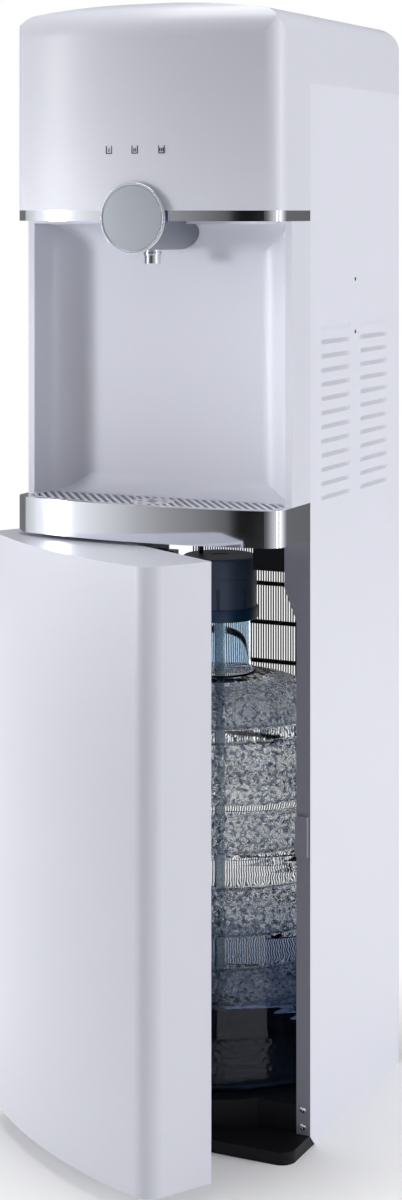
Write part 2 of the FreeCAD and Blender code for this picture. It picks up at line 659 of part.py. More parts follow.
def icon_shapes():
    """Three small cups, each with a different simple mark above it."""
    shapes = []
    for step in range(-1, 2):
        x = f"({step} * icon_pitch)"
        front = f"{BOW_FRONT} + {step * step} * icon_pitch * icon_pitch / (2 * bow_radius) - icon_proud"
        back = f"{front} + 2 * icon_proud + icon_line"
        half = "icon_size / 2"
        rim = "icon_height + icon_size"
        cup = [box(f"{x} - {half}", f"{x} - {half} + icon_line", front, back, "icon_height", rim),
               box(f"{x} + {half} - icon_line", f"{x} + {half}", front, back, "icon_height", rim),
               box(f"{x} - {half}", f"{x} + {half}", front, back, "icon_height - icon_line", "icon_height")]
        shapes.append(union(*cup))
        low = "(icon_height + icon_line)"
        for mark in range(step + 2):
            place = f"{x} + {mark - (step + 1) / 2} * mark_pitch - icon_line / 2"
            shapes.append(box(place, f"{place} + icon_line", front, back, low, f"{low} + icon_size / 2"))
    return shapes


def tap_way():
    """The round way through the head's front for the tap's barrel."""
    return rod("barrel_radius + cutout_gap", "disc_reach", "0", f"{BARREL_FRONT} - 1", TAP_HEIGHT, "Y")


def make_head():
    outer = head_envelope("0")
    front_zone = box(f"-{SIDE} - 1", f"{SIDE} + 1", f"{BOW_FRONT} - 1", FRONT, BAND_TOP, f"{HEAD_TOP} + 1")
    top_zone = box(f"-{SIDE} - 1", f"{SIDE} + 1", f"{FRONT} - 1", f"{REAR} + 1", "panel_height",
                   f"{HEAD_TOP} + 1")
    shell = cut(common(outer, union(front_zone, top_zone)), head_envelope("cover_wall"))
    icons = icon_shapes()
    node("head_cover", cut(union(shell, *board_bosses()), tap_way(), *icons))
    node("key_icons", group(*icons))

    band = bow_block("0", "band_bottom", BAND_TOP, FRONT)
    inside = bow_block("band_wall", "band_bottom - 1", f"{BAND_TOP} + 1", f"{FRONT} + 5")
    node("chrome_band", cut(band, inside, tap_way()))
    floor = bow_block("band_wall", "band_bottom", "band_bottom + head_floor_gauge", FRONT)
    node("head_floor", cut(floor, tap_way()))


BOARD_FRONT = f"({BOW_FRONT} + board_back)"
BOARD_MIDDLE = "(icon_height + icon_size / 2)"


def board_bosses():
    """Four bosses inside the cover's front that carry the control board."""
    bosses = []
    start = f"({BOW_FRONT} + cover_wall)"
    for x in ("-spacer_half", "spacer_half"):
        for z in (f"{BOARD_MIDDLE} - spacer_rise", f"{BOARD_MIDDLE} + spacer_rise"):
            bosses.append(rod("spacer_radius", f"{BOARD_FRONT} - {start}", x, start, z, "Y"))
    return bosses


def make_control_board():
    node("control_board", box("-board_half", "board_half", BOARD_FRONT, f"{BOARD_FRONT} + board_gauge",
                              f"{BOARD_MIDDLE} - board_height / 2", f"{BOARD_MIDDLE} + board_height / 2"))


# ---------------------------------------------------------------- tap

def make_tap():
    barrel = rod("barrel_radius", f"{FRONT} - {BARREL_FRONT}", "0", BARREL_FRONT, TAP_HEIGHT, "Y")
    inlets = [rod("inlet_radius", "inlet_height", f"{sign}inlet_offset", f"{DISC_FRONT} + inlet_back",
                  TAP_HEIGHT) for sign in ("", "-")]
    pocket = rod("spring_radius + spring_fit", "spring_pocket", "0", BARREL_FRONT, TAP_HEIGHT, "Y")
    stem_end = f"({DISC_BACK} + stem_reach)"
    switch_front = f"({stem_end} + button_travel + switch_gap)"
    switch_back = f"({switch_front} + switch_depth)"
    bore = rod("stem_radius + stem_fit", f"{switch_front} - {BARREL_FRONT}", "0", BARREL_FRONT, TAP_HEIGHT, "Y")
    slot = box("-switch_half", "switch_half", f"{BARREL_FRONT} + spring_pocket + switch_setback", switch_back,
               f"{TAP_HEIGHT} - switch_height / 2", f"{TAP_HEIGHT} + barrel_radius + 1")
    nozzle_y = f"({DISC_FRONT} + nozzle_back)"
    nozzle_bottom = f"({TAP_HEIGHT} - nozzle_drop)"
    nozzle_top = f"({TAP_HEIGHT} - nozzle_seat)"
    seat = rod("nozzle_radius", f"{nozzle_top} - {nozzle_bottom}", "0", nozzle_y, nozzle_bottom)
    node("tap_housing", cut(union(barrel, *inlets), pocket, bore, slot, seat))

    spout = union(rod("nozzle_radius", f"{nozzle_top} - {nozzle_bottom}", "0", nozzle_y, nozzle_bottom),
                  rod("nozzle_collar", "nozzle_collar_gauge", "0", nozzle_y,
                      f"{TAP_HEIGHT} - barrel_radius - nozzle_collar_gauge - nozzle_collar_gap"))
    way = rod("nozzle_bore", f"{nozzle_top} - {nozzle_bottom}", "0", nozzle_y, nozzle_bottom)
    node("nozzle", cut(spout, way))

    face = rod("disc_radius", "disc_gauge", "0", DISC_FRONT, TAP_HEIGHT, "Y")
    stem = rod("stem_radius", "stem_reach", "0", DISC_BACK, TAP_HEIGHT, "Y")
    node("push_disc", union(face, stem))
    node("disc_ring", ring("disc_radius + ring_width", "disc_radius", "disc_gauge", "0", DISC_FRONT,
                           TAP_HEIGHT, "Y"))
    node("button_spring", ring("spring_radius", "spring_radius - spring_wall",
                               "spring_pocket - switch_gap", "0", DISC_BACK, TAP_HEIGHT, "Y"))
    node("microswitch", box("-switch_half", "switch_half", switch_front, switch_back,
                            f"{TAP_HEIGHT} - switch_height / 2", f"{TAP_HEIGHT} + switch_height / 2"))


# ---------------------------------------------------------------- door

def hang(piece):
    """Turns a piece of the closed door about the hinge line to the open place."""
    item = group(piece)
    item.Placement = FreeCAD.Placement(Vector(), FreeCAD.Rotation(Vector(0, 0, -1), size("door_open")))
    return bind(item, {
        "Placement.Rotation.Angle": "door_open",
        "Placement.Base.x": f"{HINGE_X} - cos(door_open) * {HINGE_X} - sin(door_open) * {HINGE_Y}",
        "Placement.Base.y": f"{HINGE_Y} + sin(door_open) * {HINGE_X} - cos(door_open) * {HINGE_Y}"})


def make_door():
    outer = bow_block("0", "door_bottom", DOOR_TOP, DOOR_BACK)
    hollow = bow_block("door_wall", "door_bottom + door_wall", f"{DOOR_TOP} - door_wall", f"{DOOR_BACK} + 5")
    inside = f"({SIDE} - door_wall)"
    under = box(f"-{inside}", inside, f"{FRONT} - liner_ahead", f"{DOOR_BACK} + 5", "door_bottom - 1",
                "door_bottom + door_wall + 1")
    shell = cut(outer, hollow, under)
    bosses = [rod("boss_radius", "boss_height", HINGE_X, HINGE_Y, "door_bottom"),
              rod("boss_radius", "boss_height", HINGE_X, HINGE_Y, f"{DOOR_TOP} - boss_height")]
    bores = [rod("pin_radius + pin_fit", "boss_height + 1", HINGE_X, HINGE_Y, "door_bottom - 1"),
             rod("pin_radius + pin_fit", "boss_height + 1", HINGE_X, HINGE_Y, f"{DOOR_TOP} - boss_height")]
    node("door_shell", hang(cut(union(shell, *bosses), *bores)))
    liner = box(f"-{inside} + panel_fit", f"{inside} - panel_fit", f"{FRONT} - liner_ahead - liner_gauge",
                f"{FRONT} - liner_ahead", "door_bottom + door_wall + panel_fit",
                f"{DOOR_TOP} - door_wall - panel_fit")
    node("door_liner", hang(liner))
    catch = box(f"{inside} - catch_width", inside, f"{DOOR_BACK} - catch_depth", DOOR_BACK, "catch_bottom",
                "catch_bottom + catch_height")
    node("door_catch", hang(catch))
    strike = box(f"{INNER} - catch_width", f"{INNER} - strike_gap", f"{DOOR_BACK} + catch_gap", FRONT, "catch_bottom",
                 "catch_bottom + catch_height")
    node("strike_plate", strike)


def make_hinge():
    """The upper pin hangs from the tray, the lower one stands on the base."""
    reach = "boss_height - 2"
    upper = union(rod("pin_flange", "pin_flange_gauge", HINGE_X, HINGE_Y, "tray_bottom - pin_flange_gauge"),
                  rod("pin_radius", reach, HINGE_X, HINGE_Y, f"{DOOR_TOP} - ({reach})"),
                  rod("pin_radius", "door_gap", HINGE_X, HINGE_Y, DOOR_TOP))
    node("upper_hinge_pin", upper)
    lower = rod("pin_radius", f"door_bottom - base_lip + {reach}", HINGE_X, HINGE_Y, "base_lip")
    node("lower_hinge_pin", lower)
    node("hinge_washer", ring("pin_flange", "pin_radius + pin_fit", "door_bottom - base_lip", HINGE_X, HINGE_Y,
                              "base_lip"))


# ---------------------------------------------------------------- bottle and probe

def make_bottle():
    """A blown bottle: flat foot, ribbed wall, domed shoulder and open neck."""
    foot = "platform_height"
    wall = [("bottle_foot", foot), ("bottle_radius", f"{foot} + bottle_edge")]
    for step in range(int(size("rib_count"))):
        middle = f"(rib_first + {step} * rib_pitch)"
        wall += [("bottle_radius", f"{middle} - rib_half"), ("bottle_radius - rib_depth", f"{middle}"),
                 ("bottle_radius", f"{middle} + rib_half")]
    fall = "(bottle_radius - neck_radius)"
    for step in range(6):
        angle = 15 * step
        wall.append((f"neck_radius + {fall} * cos({angle})", f"bottle_shoulder + dome_rise * sin({angle})"))
    dome_top = "(bottle_shoulder + dome_rise)"
    wall += [("neck_radius + neck_flare / 4", f"{dome_top} + neck_flare / 3"),
             ("neck_radius", f"{dome_top} + neck_flare"), ("neck_radius", "neck_top")]
    inner = [(f"{r} - bottle_wall", z) for r, z in wall[1:-1]]
    inner[-1] = (inner[-1][0], f"{inner[-1][1]} - bottle_wall")
    closed = ([("0", foot)] + wall + [("neck_radius - bottle_wall", "neck_top")] + inner[::-1]
              + [("bottle_foot - bottle_wall", f"{foot} + bottle_wall"), ("0", f"{foot} + bottle_wall")])
    node("bottle", turned(closed, "0", BOTTLE_Y))


def make_probe():
    """The cap over the bottle's neck, with its dip tube, hose and hanger."""
    cap = union(rod("collar_radius", "collar_top - collar_bottom", "0", BOTTLE_Y, "collar_bottom"),
                rod("collar_radius + collar_ring", "collar_ring_height", "0", BOTTLE_Y, "collar_bottom"))
    skirt = rod("neck_radius + panel_fit", "neck_top - collar_bottom", "0", BOTTLE_Y, "collar_bottom")
    chamber = rod("collar_radius - collar_wall", "collar_top - neck_top - 4 * collar_wall", "0", BOTTLE_Y,
                  "neck_top + 3 * collar_wall")
    stem = rod("tube_radius", "3 * collar_wall", "0", BOTTLE_Y, "neck_top")
    passage = rod("hose_bore", "2 * collar_wall", "-hose_offset", BOTTLE_Y, "collar_top - collar_wall - 1")
    slits = []
    for step in range(int(size("collar_slits"))):
        turn = f"({step} * 360 / collar_slits + slit_turn)"
        slit = document.addObject("Part::Box", "Slit")
        slit.Placement = FreeCAD.Placement(Vector(), FreeCAD.Rotation(Vector(0, 0, 1), 1))
        bind(slit, {"Length": "slit_depth + 1", "Width": "slit_width", "Height": "slit_height",
                    "Placement.Rotation.Angle": turn})
        reach = "(collar_radius - slit_depth)"
        slits.append(at(slit, f"cos({turn}) * {reach} + sin({turn}) * slit_width / 2",
                        f"{BOTTLE_Y} + sin({turn}) * {reach} - cos({turn}) * slit_width / 2",
                        "collar_bottom + collar_ring_height"))
    node("probe_cap", cut(cap, skirt, chamber, stem, passage, *slits))
    node("dip_tube", ring("tube_radius", "tube_radius - tube_wall", "neck_top + 3 * collar_wall - tube_foot",
                          "0", BOTTLE_Y, "tube_foot"))
    lip_low = f"({DECK_BOTTOM} - grommet_lip)"
    node("probe_hose", ring("hose_radius", "hose_bore", f"{lip_low} - collar_top", "-hose_offset", BOTTLE_Y,
                            "collar_top"))
    grommet = union(rod("grommet_radius", "grommet_lip", "-hose_offset", BOTTLE_Y, lip_low),
                    rod("grommet_groove", "deck_gauge", "-hose_offset", BOTTLE_Y, DECK_BOTTOM),
                    rod("grommet_radius", "grommet_lip", "-hose_offset", BOTTLE_Y, DECK_TOP))
    bore = rod("hose_bore", "deck_gauge + 2 * grommet_lip", "-hose_offset", BOTTLE_Y, lip_low)
    node("hose_grommet", cut(grommet, bore))
    start = f"({FRONT} + post_gauge + panel_fit)"
    outer = f"({INNER} - hanger_side_gap)"
    inner = f"({outer} - hanger_width)"
    block = box(inner, outer, start, f"{start} + hanger_depth", "hanger_bottom", DECK_BOTTOM)
    notch = box(f"{inner} + hanger_wall", f"{outer} - hanger_wall", f"{start} + hanger_front_wall",
                f"{start} + hanger_depth + 1", "hanger_bottom - 1", f"{DECK_BOTTOM} - hanger_top_wall")
    node("probe_hanger", cut(block, notch))


# ---------------------------------------------------------------- water and cooling

def make_compressor():
    """A sealed can on a foot plate with four rubber mounts, and its relay box."""
    x = COMPRESSOR_X
    y = f"({FRONT} + compressor_back)"
    z = f"({DECK_TOP} + mount_height)"
    plate_top = f"({z} + foot_plate)"
    can = rod("compressor_radius", "compressor_height", x, y, plate_top)
    document.recompute()

    def rim(edge):
        return not runs_along(edge, "z")
    half = "(compressor_radius + foot_margin)"
    plate = box(f"{x} - {half}", f"{x} + {half}", f"{y} - foot_reach", f"{y} + foot_reach", z, plate_top)
    inside = rod("compressor_radius - compressor_wall", "compressor_height - 2 * compressor_wall", x, y,
                 f"{plate_top} + compressor_wall")
    node("compressor", cut(union(rounded(can, [(size("compressor_round"), rim)]), plate), inside))
    mounts = []
    for across in (-1, 1):
        for along in (-1, 1):
            mounts.append(rod("mount_radius", "mount_height",
                              f"{x} + {across} * (compressor_radius + foot_margin - mount_setback)",
                              f"{y} + {along} * (foot_reach - mount_setback)", DECK_TOP))
    node("compressor_mounts", group(*mounts))
    side = f"({x} - compressor_radius - relay_gap)"
    node("relay_box", box(f"{side} - relay_depth", side, f"{y} - relay_width / 2", f"{y} + relay_width / 2",
                          plate_top, f"{plate_top} + relay_height"))


def make_pump():
    """The pump, its suction line from the bottle and its delivery line to the tanks."""
    node("pump", rod("pump_radius", "pump_height", PUMP_X, f"({FRONT} + pump_back)", DECK_TOP))
    hose_y = front_plane() + size("bottle_back")
    pump_x = size("pump_radius") + size("pump_side_gap") - inner_face()
    pump_y = front_plane() + size("pump_back")
    pump_top = deck_top() + size("pump_height")
    pump_middle = deck_top() + size("pump_height") / 2
    high = deck_top() + size("suction_rise")
    points = [(-size("hose_offset"), hose_y, deck_top() + size("grommet_lip")),
              (-size("hose_offset"), hose_y, high), (pump_x, pump_y, high), (pump_x, pump_y, pump_top)]
    suction = feature(bent_tube(points, size("hose_radius"), size("line_bend"), size("hose_bore")))
    rise_x = size("delivery_side_gap") - inner_face()
    points = [(pump_x - size("pump_radius"), pump_y, pump_middle), (rise_x, pump_y, pump_middle),
              (rise_x, pump_y, shelf_bottom())]
    delivery = feature(bent_tube(points, size("delivery_radius"), size("delivery_bend")))
    node("pump_lines", group(suction, delivery))


def make_tanks():
    """The cold tank with its coil and foam jacket, and the hot tank with its heater."""
    base = f"({SHELF_TOP} + foam_floor)"
    tank = rod("cold_radius", "cold_height", COLD_X, TANK_Y, base)
    inside = rod("cold_radius - tank_gauge", "cold_height - 2 * tank_gauge", COLD_X, TANK_Y,
                 f"{base} + tank_gauge")
    node("cold_tank", cut(tank, inside))
    foam = rod("foam_radius", "foam_floor + cold_height", COLD_X, TANK_Y, SHELF_TOP)
    cavity = rod("cold_radius + 2 * coil_radius + 2 * coil_fit + foam_fit", "cold_height + 1", COLD_X, TANK_Y,
                 base)
    node("tank_insulation", cut(foam, cavity))
    centre = size("cold_radius") + size("coil_radius") + size("coil_fit")
    helix = Part.makeHelix(size("coil_pitch"), size("coil_pitch") * size("coil_turns"), centre)
    section = Part.Wire([Part.makeCircle(size("coil_radius"), Vector(centre, 0, 0), Vector(0, 1, 0))])
    coil = Part.Wire(helix.Edges).makePipeShell([section], True, True)
    cold_x = size("foam_radius") + size("tank_side_gap") - inner_face()
    coil.translate(Vector(cold_x, front_plane() + size("tank_back"),
                          shelf_top() + size("foam_floor") + size("coil_rise")))
    node("evaporator_coil", feature(coil))

    stand = ring("hot_radius", "hot_radius - hot_stand_wall", "hot_stand", HOT_X, TANK_Y, SHELF_TOP)
    node("hot_tank_stand", stand)
    hot_base = f"({SHELF_TOP} + hot_stand)"
    hot = rod("hot_radius", f"{TANK_TOP} - {hot_base}", HOT_X, TANK_Y, hot_base)
    hollow = rod("hot_radius - tank_gauge", f"{TANK_TOP} - {hot_base} - 2 * tank_gauge", HOT_X, TANK_Y,
                 f"{hot_base} + tank_gauge")
    node("hot_tank", cut(hot, hollow))
    node("heater_band", ring("hot_radius + heater_gauge", "hot_radius", "heater_height", HOT_X, TANK_Y,
                             f"{hot_base} + heater_rise"))
    discs = [rod("thermostat_radius", "thermostat_gauge", f"{HOT_X} + {side} * thermostat_pitch", TANK_Y,
                 TANK_TOP) for side in (0, 1)]
    node("thermostats", group(*discs))


def make_valves():
    """The two valves on the tanks and their lines down to the tap."""
    front = f"({TANK_Y} - valve_size)"
    top = f"{TANK_TOP} + valve_height"
    valves = [box("-valve_inner - valve_size", "-valve_inner", front, TANK_Y, TANK_TOP, top),
              box("valve_inner", "valve_inner + valve_size", front, TANK_Y, TANK_TOP, top)]
    node("outlet_valves", group(*valves))
    y_back = front_plane() + size("tank_back") - size("valve_size")
    y_front = front_plane() - size("disc_reach") + size("inlet_back")
    z_high = tank_top() + size("feed_rise")
    z_low = size("band_bottom") + size("tap_rise") + size("inlet_height")
    feeds = []
    for sign in (-1, 1):
        x = sign * size("inlet_offset")
        points = [(x, y_back, z_high), (x, y_front, z_high), (x, y_front, z_low)]
        feeds.append(feature(bent_tube(points, size("feed_radius"), size("feed_bend"), size("feed_bore"))))
    node("outlet_feeds", group(*feeds))


def make_condenser():
    """A serpentine tube between two faces of upright wires, held at its sides."""
    y = rear_plane() - size("serpent_ahead")
    half = size("case_width") / 2 - size("serpent_side_gap")
    pitch = size("serpent_pitch")
    runs = int(size("serpent_runs"))
    edges = []
    for run in range(runs):
        z = size("serpent_low") + run * pitch
        side = 1 if run % 2 == 0 else -1
        edges.append(Part.LineSegment(Vector(-side * half, y, z), Vector(side * half, y, z)).toShape())
        if run < runs - 1:
            bend = Vector(side * (half + pitch / 2), y, z + pitch / 2)
            edges.append(Part.Arc(Vector(side * half, y, z), bend, Vector(side * half, y, z + pitch)).toShape())
    start = Vector(-half, y, size("serpent_low"))
    section = Part.Wire([Part.makeCircle(size("serpent_tube"), start, Vector(1, 0, 0))])
    node("condenser_tube", feature(Part.Wire(edges).makePipeShell([section], True, False)))

    wires = []
    count = int(2 * half / size("wire_pitch"))
    reach = "(serpent_tube + wire_radius)"
    for side in ("-", "+"):
        for step in range(count + 1):
            x = f"({step} - {count / 2}) * wire_pitch"
            wires.append(rod("wire_radius", "wire_high - wire_low", x, f"{CONDENSER_Y} {side} {reach}",
                             "wire_low"))
    node("condenser_wires", group(*wires))

    holders = []
    for sign in ("", "-"):
        for run in (1, runs - 2):
            z = f"(serpent_low + {run} * serpent_pitch + serpent_pitch / 2)"
            coil_side = "(case_width / 2 - serpent_side_gap + serpent_pitch / 2 + serpent_tube)"
            ends = (f"{sign}{coil_side}", f"{sign}{INNER}")
            low, high = ends if sign == "" else ends[::-1]
            holders.append(box(low, high, f"{CONDENSER_Y} - bracket_depth / 2", f"{REAR} - sheet_gauge",
                               f"{z} - bracket_height / 2", f"{z} + bracket_height / 2"))
    node("condenser_brackets", group(*holders))


# ---------------------------------------------------------------- rear fittings

def make_rear_fittings():
    """The two rocker switches in their frame, the cord's gland and the drain plug."""
    x = REAR_PART_X
    back = f"({REAR} - sheet_gauge)"
    face = f"({back} + bezel_lip)"
    low_z = "(switch_level - bezel_height / 2)"
    high_z = "(switch_level + bezel_height / 2)"
    frame = box(f"{x} - bezel_width / 2", f"{x} + bezel_width / 2", back, face, low_z, high_z)
    body = box(f"{x} - bezel_width / 2 + bezel_lip", f"{x} + bezel_width / 2 - bezel_lip",
               f"{back} - bezel_gauge", back, f"{low_z} + bezel_lip", f"{high_z} - bezel_lip")
    wells = []
    for name, side in (("hot", 1), ("cold", -1)):
        middle = f"({x} + {side} * rocker_pitch / 2)"
        low_x = f"{middle} - rocker_width / 2"
        high_x = f"{middle} + rocker_width / 2"
        foot = "switch_level - rocker_height / 2"
        head = "switch_level + rocker_height / 2"
        wells.append(box(f"{low_x} - rocker_gap", f"{high_x} + rocker_gap", f"{back} - rocker_well",
                         f"{face} + 1", f"{foot} - rocker_gap", f"{head} + rocker_gap"))
        paddle = box(low_x, high_x, f"{face} - rocker_sink", f"{face} - rocker_sink + rocker_gauge", foot, head)
        hub = rod("rocker_hub", "rocker_width", low_x, f"{face} - rocker_hub_sink", "switch_level", "X")
        node(f"{name}_switch", union(paddle, hub))
    node("switch_bezel", cut(union(frame, body), *wells))

    inside = f"{REAR_SKIN} - fitting_reach"
    length = "rear_panel_gauge + fitting_reach"
    gland = union(rod("gland_flange", "gland_lip", x, back, "gland_level", "Y"),
                  rod("gland_radius", length, x, inside, "gland_level", "Y"))
    way = rod("gland_bore", f"{length} + gland_lip + 2", x, f"{inside} - 1", "gland_level", "Y")
    node("cord_gland", cut(gland, way))
    plug = union(rod("drain_plug_head", "drain_plug_gauge", f"-{x}", back, "drain_level", "Y"),
                 rod("drain_plug_radius", length, f"-{x}", inside, "drain_level", "Y"))
    node("drain_plug", plug)


def check_document():
    for item in document.Objects:
        if "Invalid" in item.State or "Error" in item.State:
            raise RuntimeError(f"{item.Label} failed: {item.State}")
    for item in NODES:
        if item.Shape.isNull() or not item.Shape.isValid() or not item.Shape.Solids:
            raise RuntimeError(f"{item.Label} has no valid solid")


make_base()
for hand in ("left", "right"):
    make_side_panel(hand)
    make_post(hand)
make_deck()
make_shelf()
make_rear_panel()
make_tray()
make_alcove()
make_head()
make_control_board()
make_tap()
make_door()
make_hinge()
make_bottle()
make_probe()
make_compressor()
make_pump()
make_tanks()
make_valves()
make_condenser()
make_rear_fittings()
document.recompute()
check_document()

os.makedirs("parts", exist_ok=True)
for item in NODES:
    item.Shape.exportStep(f"parts/{item.Label}.step")
    print(item.Label, len(item.Shape.Solids), round(item.Shape.Volume / 1000, 2), "cm3")
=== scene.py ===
"""Bottom load water cooler: finishes, fine shapes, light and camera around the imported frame.

Lengths are in metres, in the frame's own axes: the front faces -Y, +Z is up and
+X is to the viewer's right.
"""
import json
import math

import bpy
import bmesh
import numpy as np
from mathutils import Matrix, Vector


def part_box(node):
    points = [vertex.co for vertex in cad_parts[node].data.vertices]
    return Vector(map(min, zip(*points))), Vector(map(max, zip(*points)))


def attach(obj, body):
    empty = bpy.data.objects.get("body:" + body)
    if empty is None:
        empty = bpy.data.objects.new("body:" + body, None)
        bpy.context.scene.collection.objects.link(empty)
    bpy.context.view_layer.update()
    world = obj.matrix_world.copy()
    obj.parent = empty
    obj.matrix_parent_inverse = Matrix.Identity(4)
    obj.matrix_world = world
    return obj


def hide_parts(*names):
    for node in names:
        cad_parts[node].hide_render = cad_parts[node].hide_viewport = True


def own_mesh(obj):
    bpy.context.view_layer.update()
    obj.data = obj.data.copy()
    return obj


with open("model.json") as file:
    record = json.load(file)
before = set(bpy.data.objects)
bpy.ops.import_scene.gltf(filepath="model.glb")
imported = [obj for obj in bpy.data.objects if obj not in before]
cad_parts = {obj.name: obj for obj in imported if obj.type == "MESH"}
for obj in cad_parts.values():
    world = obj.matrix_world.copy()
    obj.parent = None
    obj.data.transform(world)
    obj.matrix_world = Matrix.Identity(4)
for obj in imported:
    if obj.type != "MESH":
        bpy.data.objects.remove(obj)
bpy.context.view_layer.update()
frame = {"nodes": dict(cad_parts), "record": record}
NODES = frame["nodes"]

# the case's front and rear faces and half its width
FRONT, REAR, HALF_WIDTH = -0.102, 0.152, 0.1475
# where the axes of the bottle and of the tap lie
BOTTLE_Y, TAP_HEIGHT = 0.003, 0.927

# how strongly solid plastic and thin clear walls bend light
PLASTIC_IOR, CLEAR_IOR = 1.5, 1.33


# ---------------------------------------------------------------- finishes

class Field:
    """A socket of a finish. Arithmetic on it adds the matching nodes."""

    def __init__(self, finish, socket):
        self.finish = finish
        self.socket = socket

    def maths(self, operation, first, second):
        return self.finish.maths_of(operation, first, second)

    def __add__(self, other):
        return self.maths("ADD", self, other)

    def __sub__(self, other):
        return self.maths("SUBTRACT", self, other)

    def __mul__(self, other):
        return self.maths("MULTIPLY", self, other)

    def __rsub__(self, other):
        return self.maths("SUBTRACT", other, self)

    __radd__ = __add__
    __rmul__ = __mul__

    def above(self, limit):
        return self.maths("GREATER_THAN", self, limit)

    def either(self, other):
        """1 where at least one of two masks is 1."""
        return (self + other).above(0.5)


class Finish:
    """A material whose surface is one principled shader."""

    def __init__(self, name, constants):
        self.material = bpy.data.materials.new(name)
        self.material.use_nodes = True
        self.tree = self.material.node_tree
        self.shader = self.tree.nodes["Principled BSDF"]
        for socket, amount in constants.items():
            self.shader.inputs[socket].default_value = amount
        self.place = self.add("ShaderNodeTexCoord", output="Object")

    def add(self, kind, settings=None, values=None, output=0):
        """A node with its settings, then the values or links of its sockets."""
        node = self.tree.nodes.new(kind)
        for key, setting in (settings or {}).items():
            if key == "stops":
                ramp = node.color_ramp.elements
                for _ in setting[2:]:
                    ramp.new(1.0)
                for stop, (position, tone) in zip(ramp, setting):
                    stop.position = position
                    stop.color = (tone, tone, tone, 1)
            else:
                setattr(node, key, setting)
        for key, value in (values or {}).items():
            if isinstance(value, Field):
                self.tree.links.new(value.socket, node.inputs[key])
            else:
                node.inputs[key].default_value = value
        return Field(self, node.outputs[output])

    def maths_of(self, operation, first, second):
        return self.add("ShaderNodeMath", {"operation": operation}, {0: first, 1: second})

    def feed(self, socket, field):
        self.tree.links.new(field.socket, self.shader.inputs[socket])

    def stretched(self, scale):
        """The place on the piece, counted in cells of a different size along each axis."""
        return self.add("ShaderNodeMapping", values={"Vector": self.place, "Scale": scale})

    def along(self, axis):
        """How far a point lies along one axis, in metres."""
        return self.add("ShaderNodeSeparateXYZ", values={0: self.place}, output=axis)

    def ramp(self, stops, field):
        """A grey tone that follows a field through its stops."""
        return self.add("ShaderNodeValToRGB", {"stops": stops}, {0: field}, output="Color")

    def noise(self, scale, detail=2.0, place=None):
        """Soft clouds between 0 and 1; the scale counts their cells along one metre or unit."""
        values = {"Vector": place or self.place, "Scale": scale, "Detail": detail}
        return self.add("ShaderNodeTexNoise", values=values)

    def mixed(self, share, first, second):
        """A colour between two, by share. Each is three numbers or a field."""
        first_socket, second_socket, colour_output = 6, 7, 2
        values = {0: share}
        for socket, tone in ((first_socket, first), (second_socket, second)):
            values[socket] = tone if isinstance(tone, Field) else [*tone, 1]
        return self.add("ShaderNodeMix", {"data_type": "RGBA"}, values, output=colour_output)

    def relief(self, height, depth):
        """A bump of this depth where the height goes from 0 to 1."""
        values = {"Height": height, "Distance": depth, "Strength": 1.0}
        self.feed("Normal", self.add("ShaderNodeBump", values=values))

    def tinted(self, colour, spread, scale):
        """The base colour, a little lighter and darker in soft clouds."""
        dark = [c * (1 - spread) for c in colour]
        light = [min(1, c * (1 + spread)) for c in colour]
        self.feed("Base Color", self.mixed(self.noise(scale), dark, light))

    def uneven_gloss(self, roughness, swing=0.08, scale=14.0):
        """Roughness that wanders in soft clouds by half the swing to either side."""
        self.feed("Roughness", self.noise(scale) * swing + (roughness - swing / 2))


def moulded(name, colour, roughness, grain=1500.0, depth=0.00002, coat=0.0, spread=0.03,
            shine=0.5):
    """Moulded or painted stock: soft colour clouds, a fine grain and uneven gloss."""
    finish = Finish(name, {"Coat Weight": coat, "Coat Roughness": 0.2, "IOR": PLASTIC_IOR,
                           "Specular IOR Level": shine})
    finish.tinted(colour, spread, scale=6.0)
    finish.uneven_gloss(roughness)
    finish.relief(finish.noise(grain), depth)
    return finish.material


def coated_sheet(name, colour, back, roughness):
    """Steel sheet, powder coated outside and dark grey inside the case: partly its dull back coat,
    partly painted shade for the dim inside of the case.

    The outside is where a point lies in the outer skin of a side panel or of the rear panel.
    """
    side_skin, rear_skin = 0.0004, 0.0014
    finish = Finish(name, {"IOR": PLASTIC_IOR})
    across = finish.maths_of("ABSOLUTE", finish.along("X"), 0)
    ahead = finish.along("Y")
    outside = across.above(HALF_WIDTH - side_skin).either(ahead.above(REAR - rear_skin))
    # the inside's dark grey is partly the back coat and partly painted shade
    finish.feed("Base Color", finish.mixed(outside, back, colour))
    finish.uneven_gloss(roughness)
    finish.relief(finish.noise(1100.0), depth=0.00004)
    return finish.material


def plated(name, colour, roughness):
    """Bright plating with a faint ripple and soft haze."""
    finish = Finish(name, {"Metallic": 1.0})
    finish.tinted(colour, spread=0.02, scale=9.0)
    finish.uneven_gloss(roughness, swing=0.06, scale=30.0)
    finish.relief(finish.noise(60.0), depth=0.00001)
    return finish.material


def brushed(name, colour, roughness, lay):
    """Metal sheet brushed along one axis: lay gives the streaks' cells along X, Y and Z."""
    shade, swing = 0.8, 0.2
    finish = Finish(name, {"Metallic": 1.0})
    streaks = finish.noise(1.0, detail=3.0, place=finish.stretched(lay))
    finish.feed("Base Color", finish.mixed(streaks, [c * shade for c in colour], colour))
    finish.feed("Roughness", streaks * swing + (roughness - swing / 2))
    finish.relief(streaks, depth=0.00003)
    return finish.material


def clear(name, colour, roughness):
    """Clear plastic: light passes through it, a little tinted."""
    finish = Finish(name, {"Transmission Weight": 1.0, "IOR": CLEAR_IOR})
    finish.tinted(colour, spread=0.04, scale=8.0)
    finish.uneven_gloss(roughness, swing=0.04, scale=40.0)
    finish.relief(finish.noise(500.0), depth=0.00002)
    return finish.material


# the height that the bottle's tones are counted to
BOTTLE_TOP = 0.52
# each plain band of the bottle's wall: height of its middle and half its height
PLAIN_BANDS = [(0.116, 0.018), (0.186, 0.017), (0.268, 0.018), (0.330, 0.006), (0.403, 0.007)]
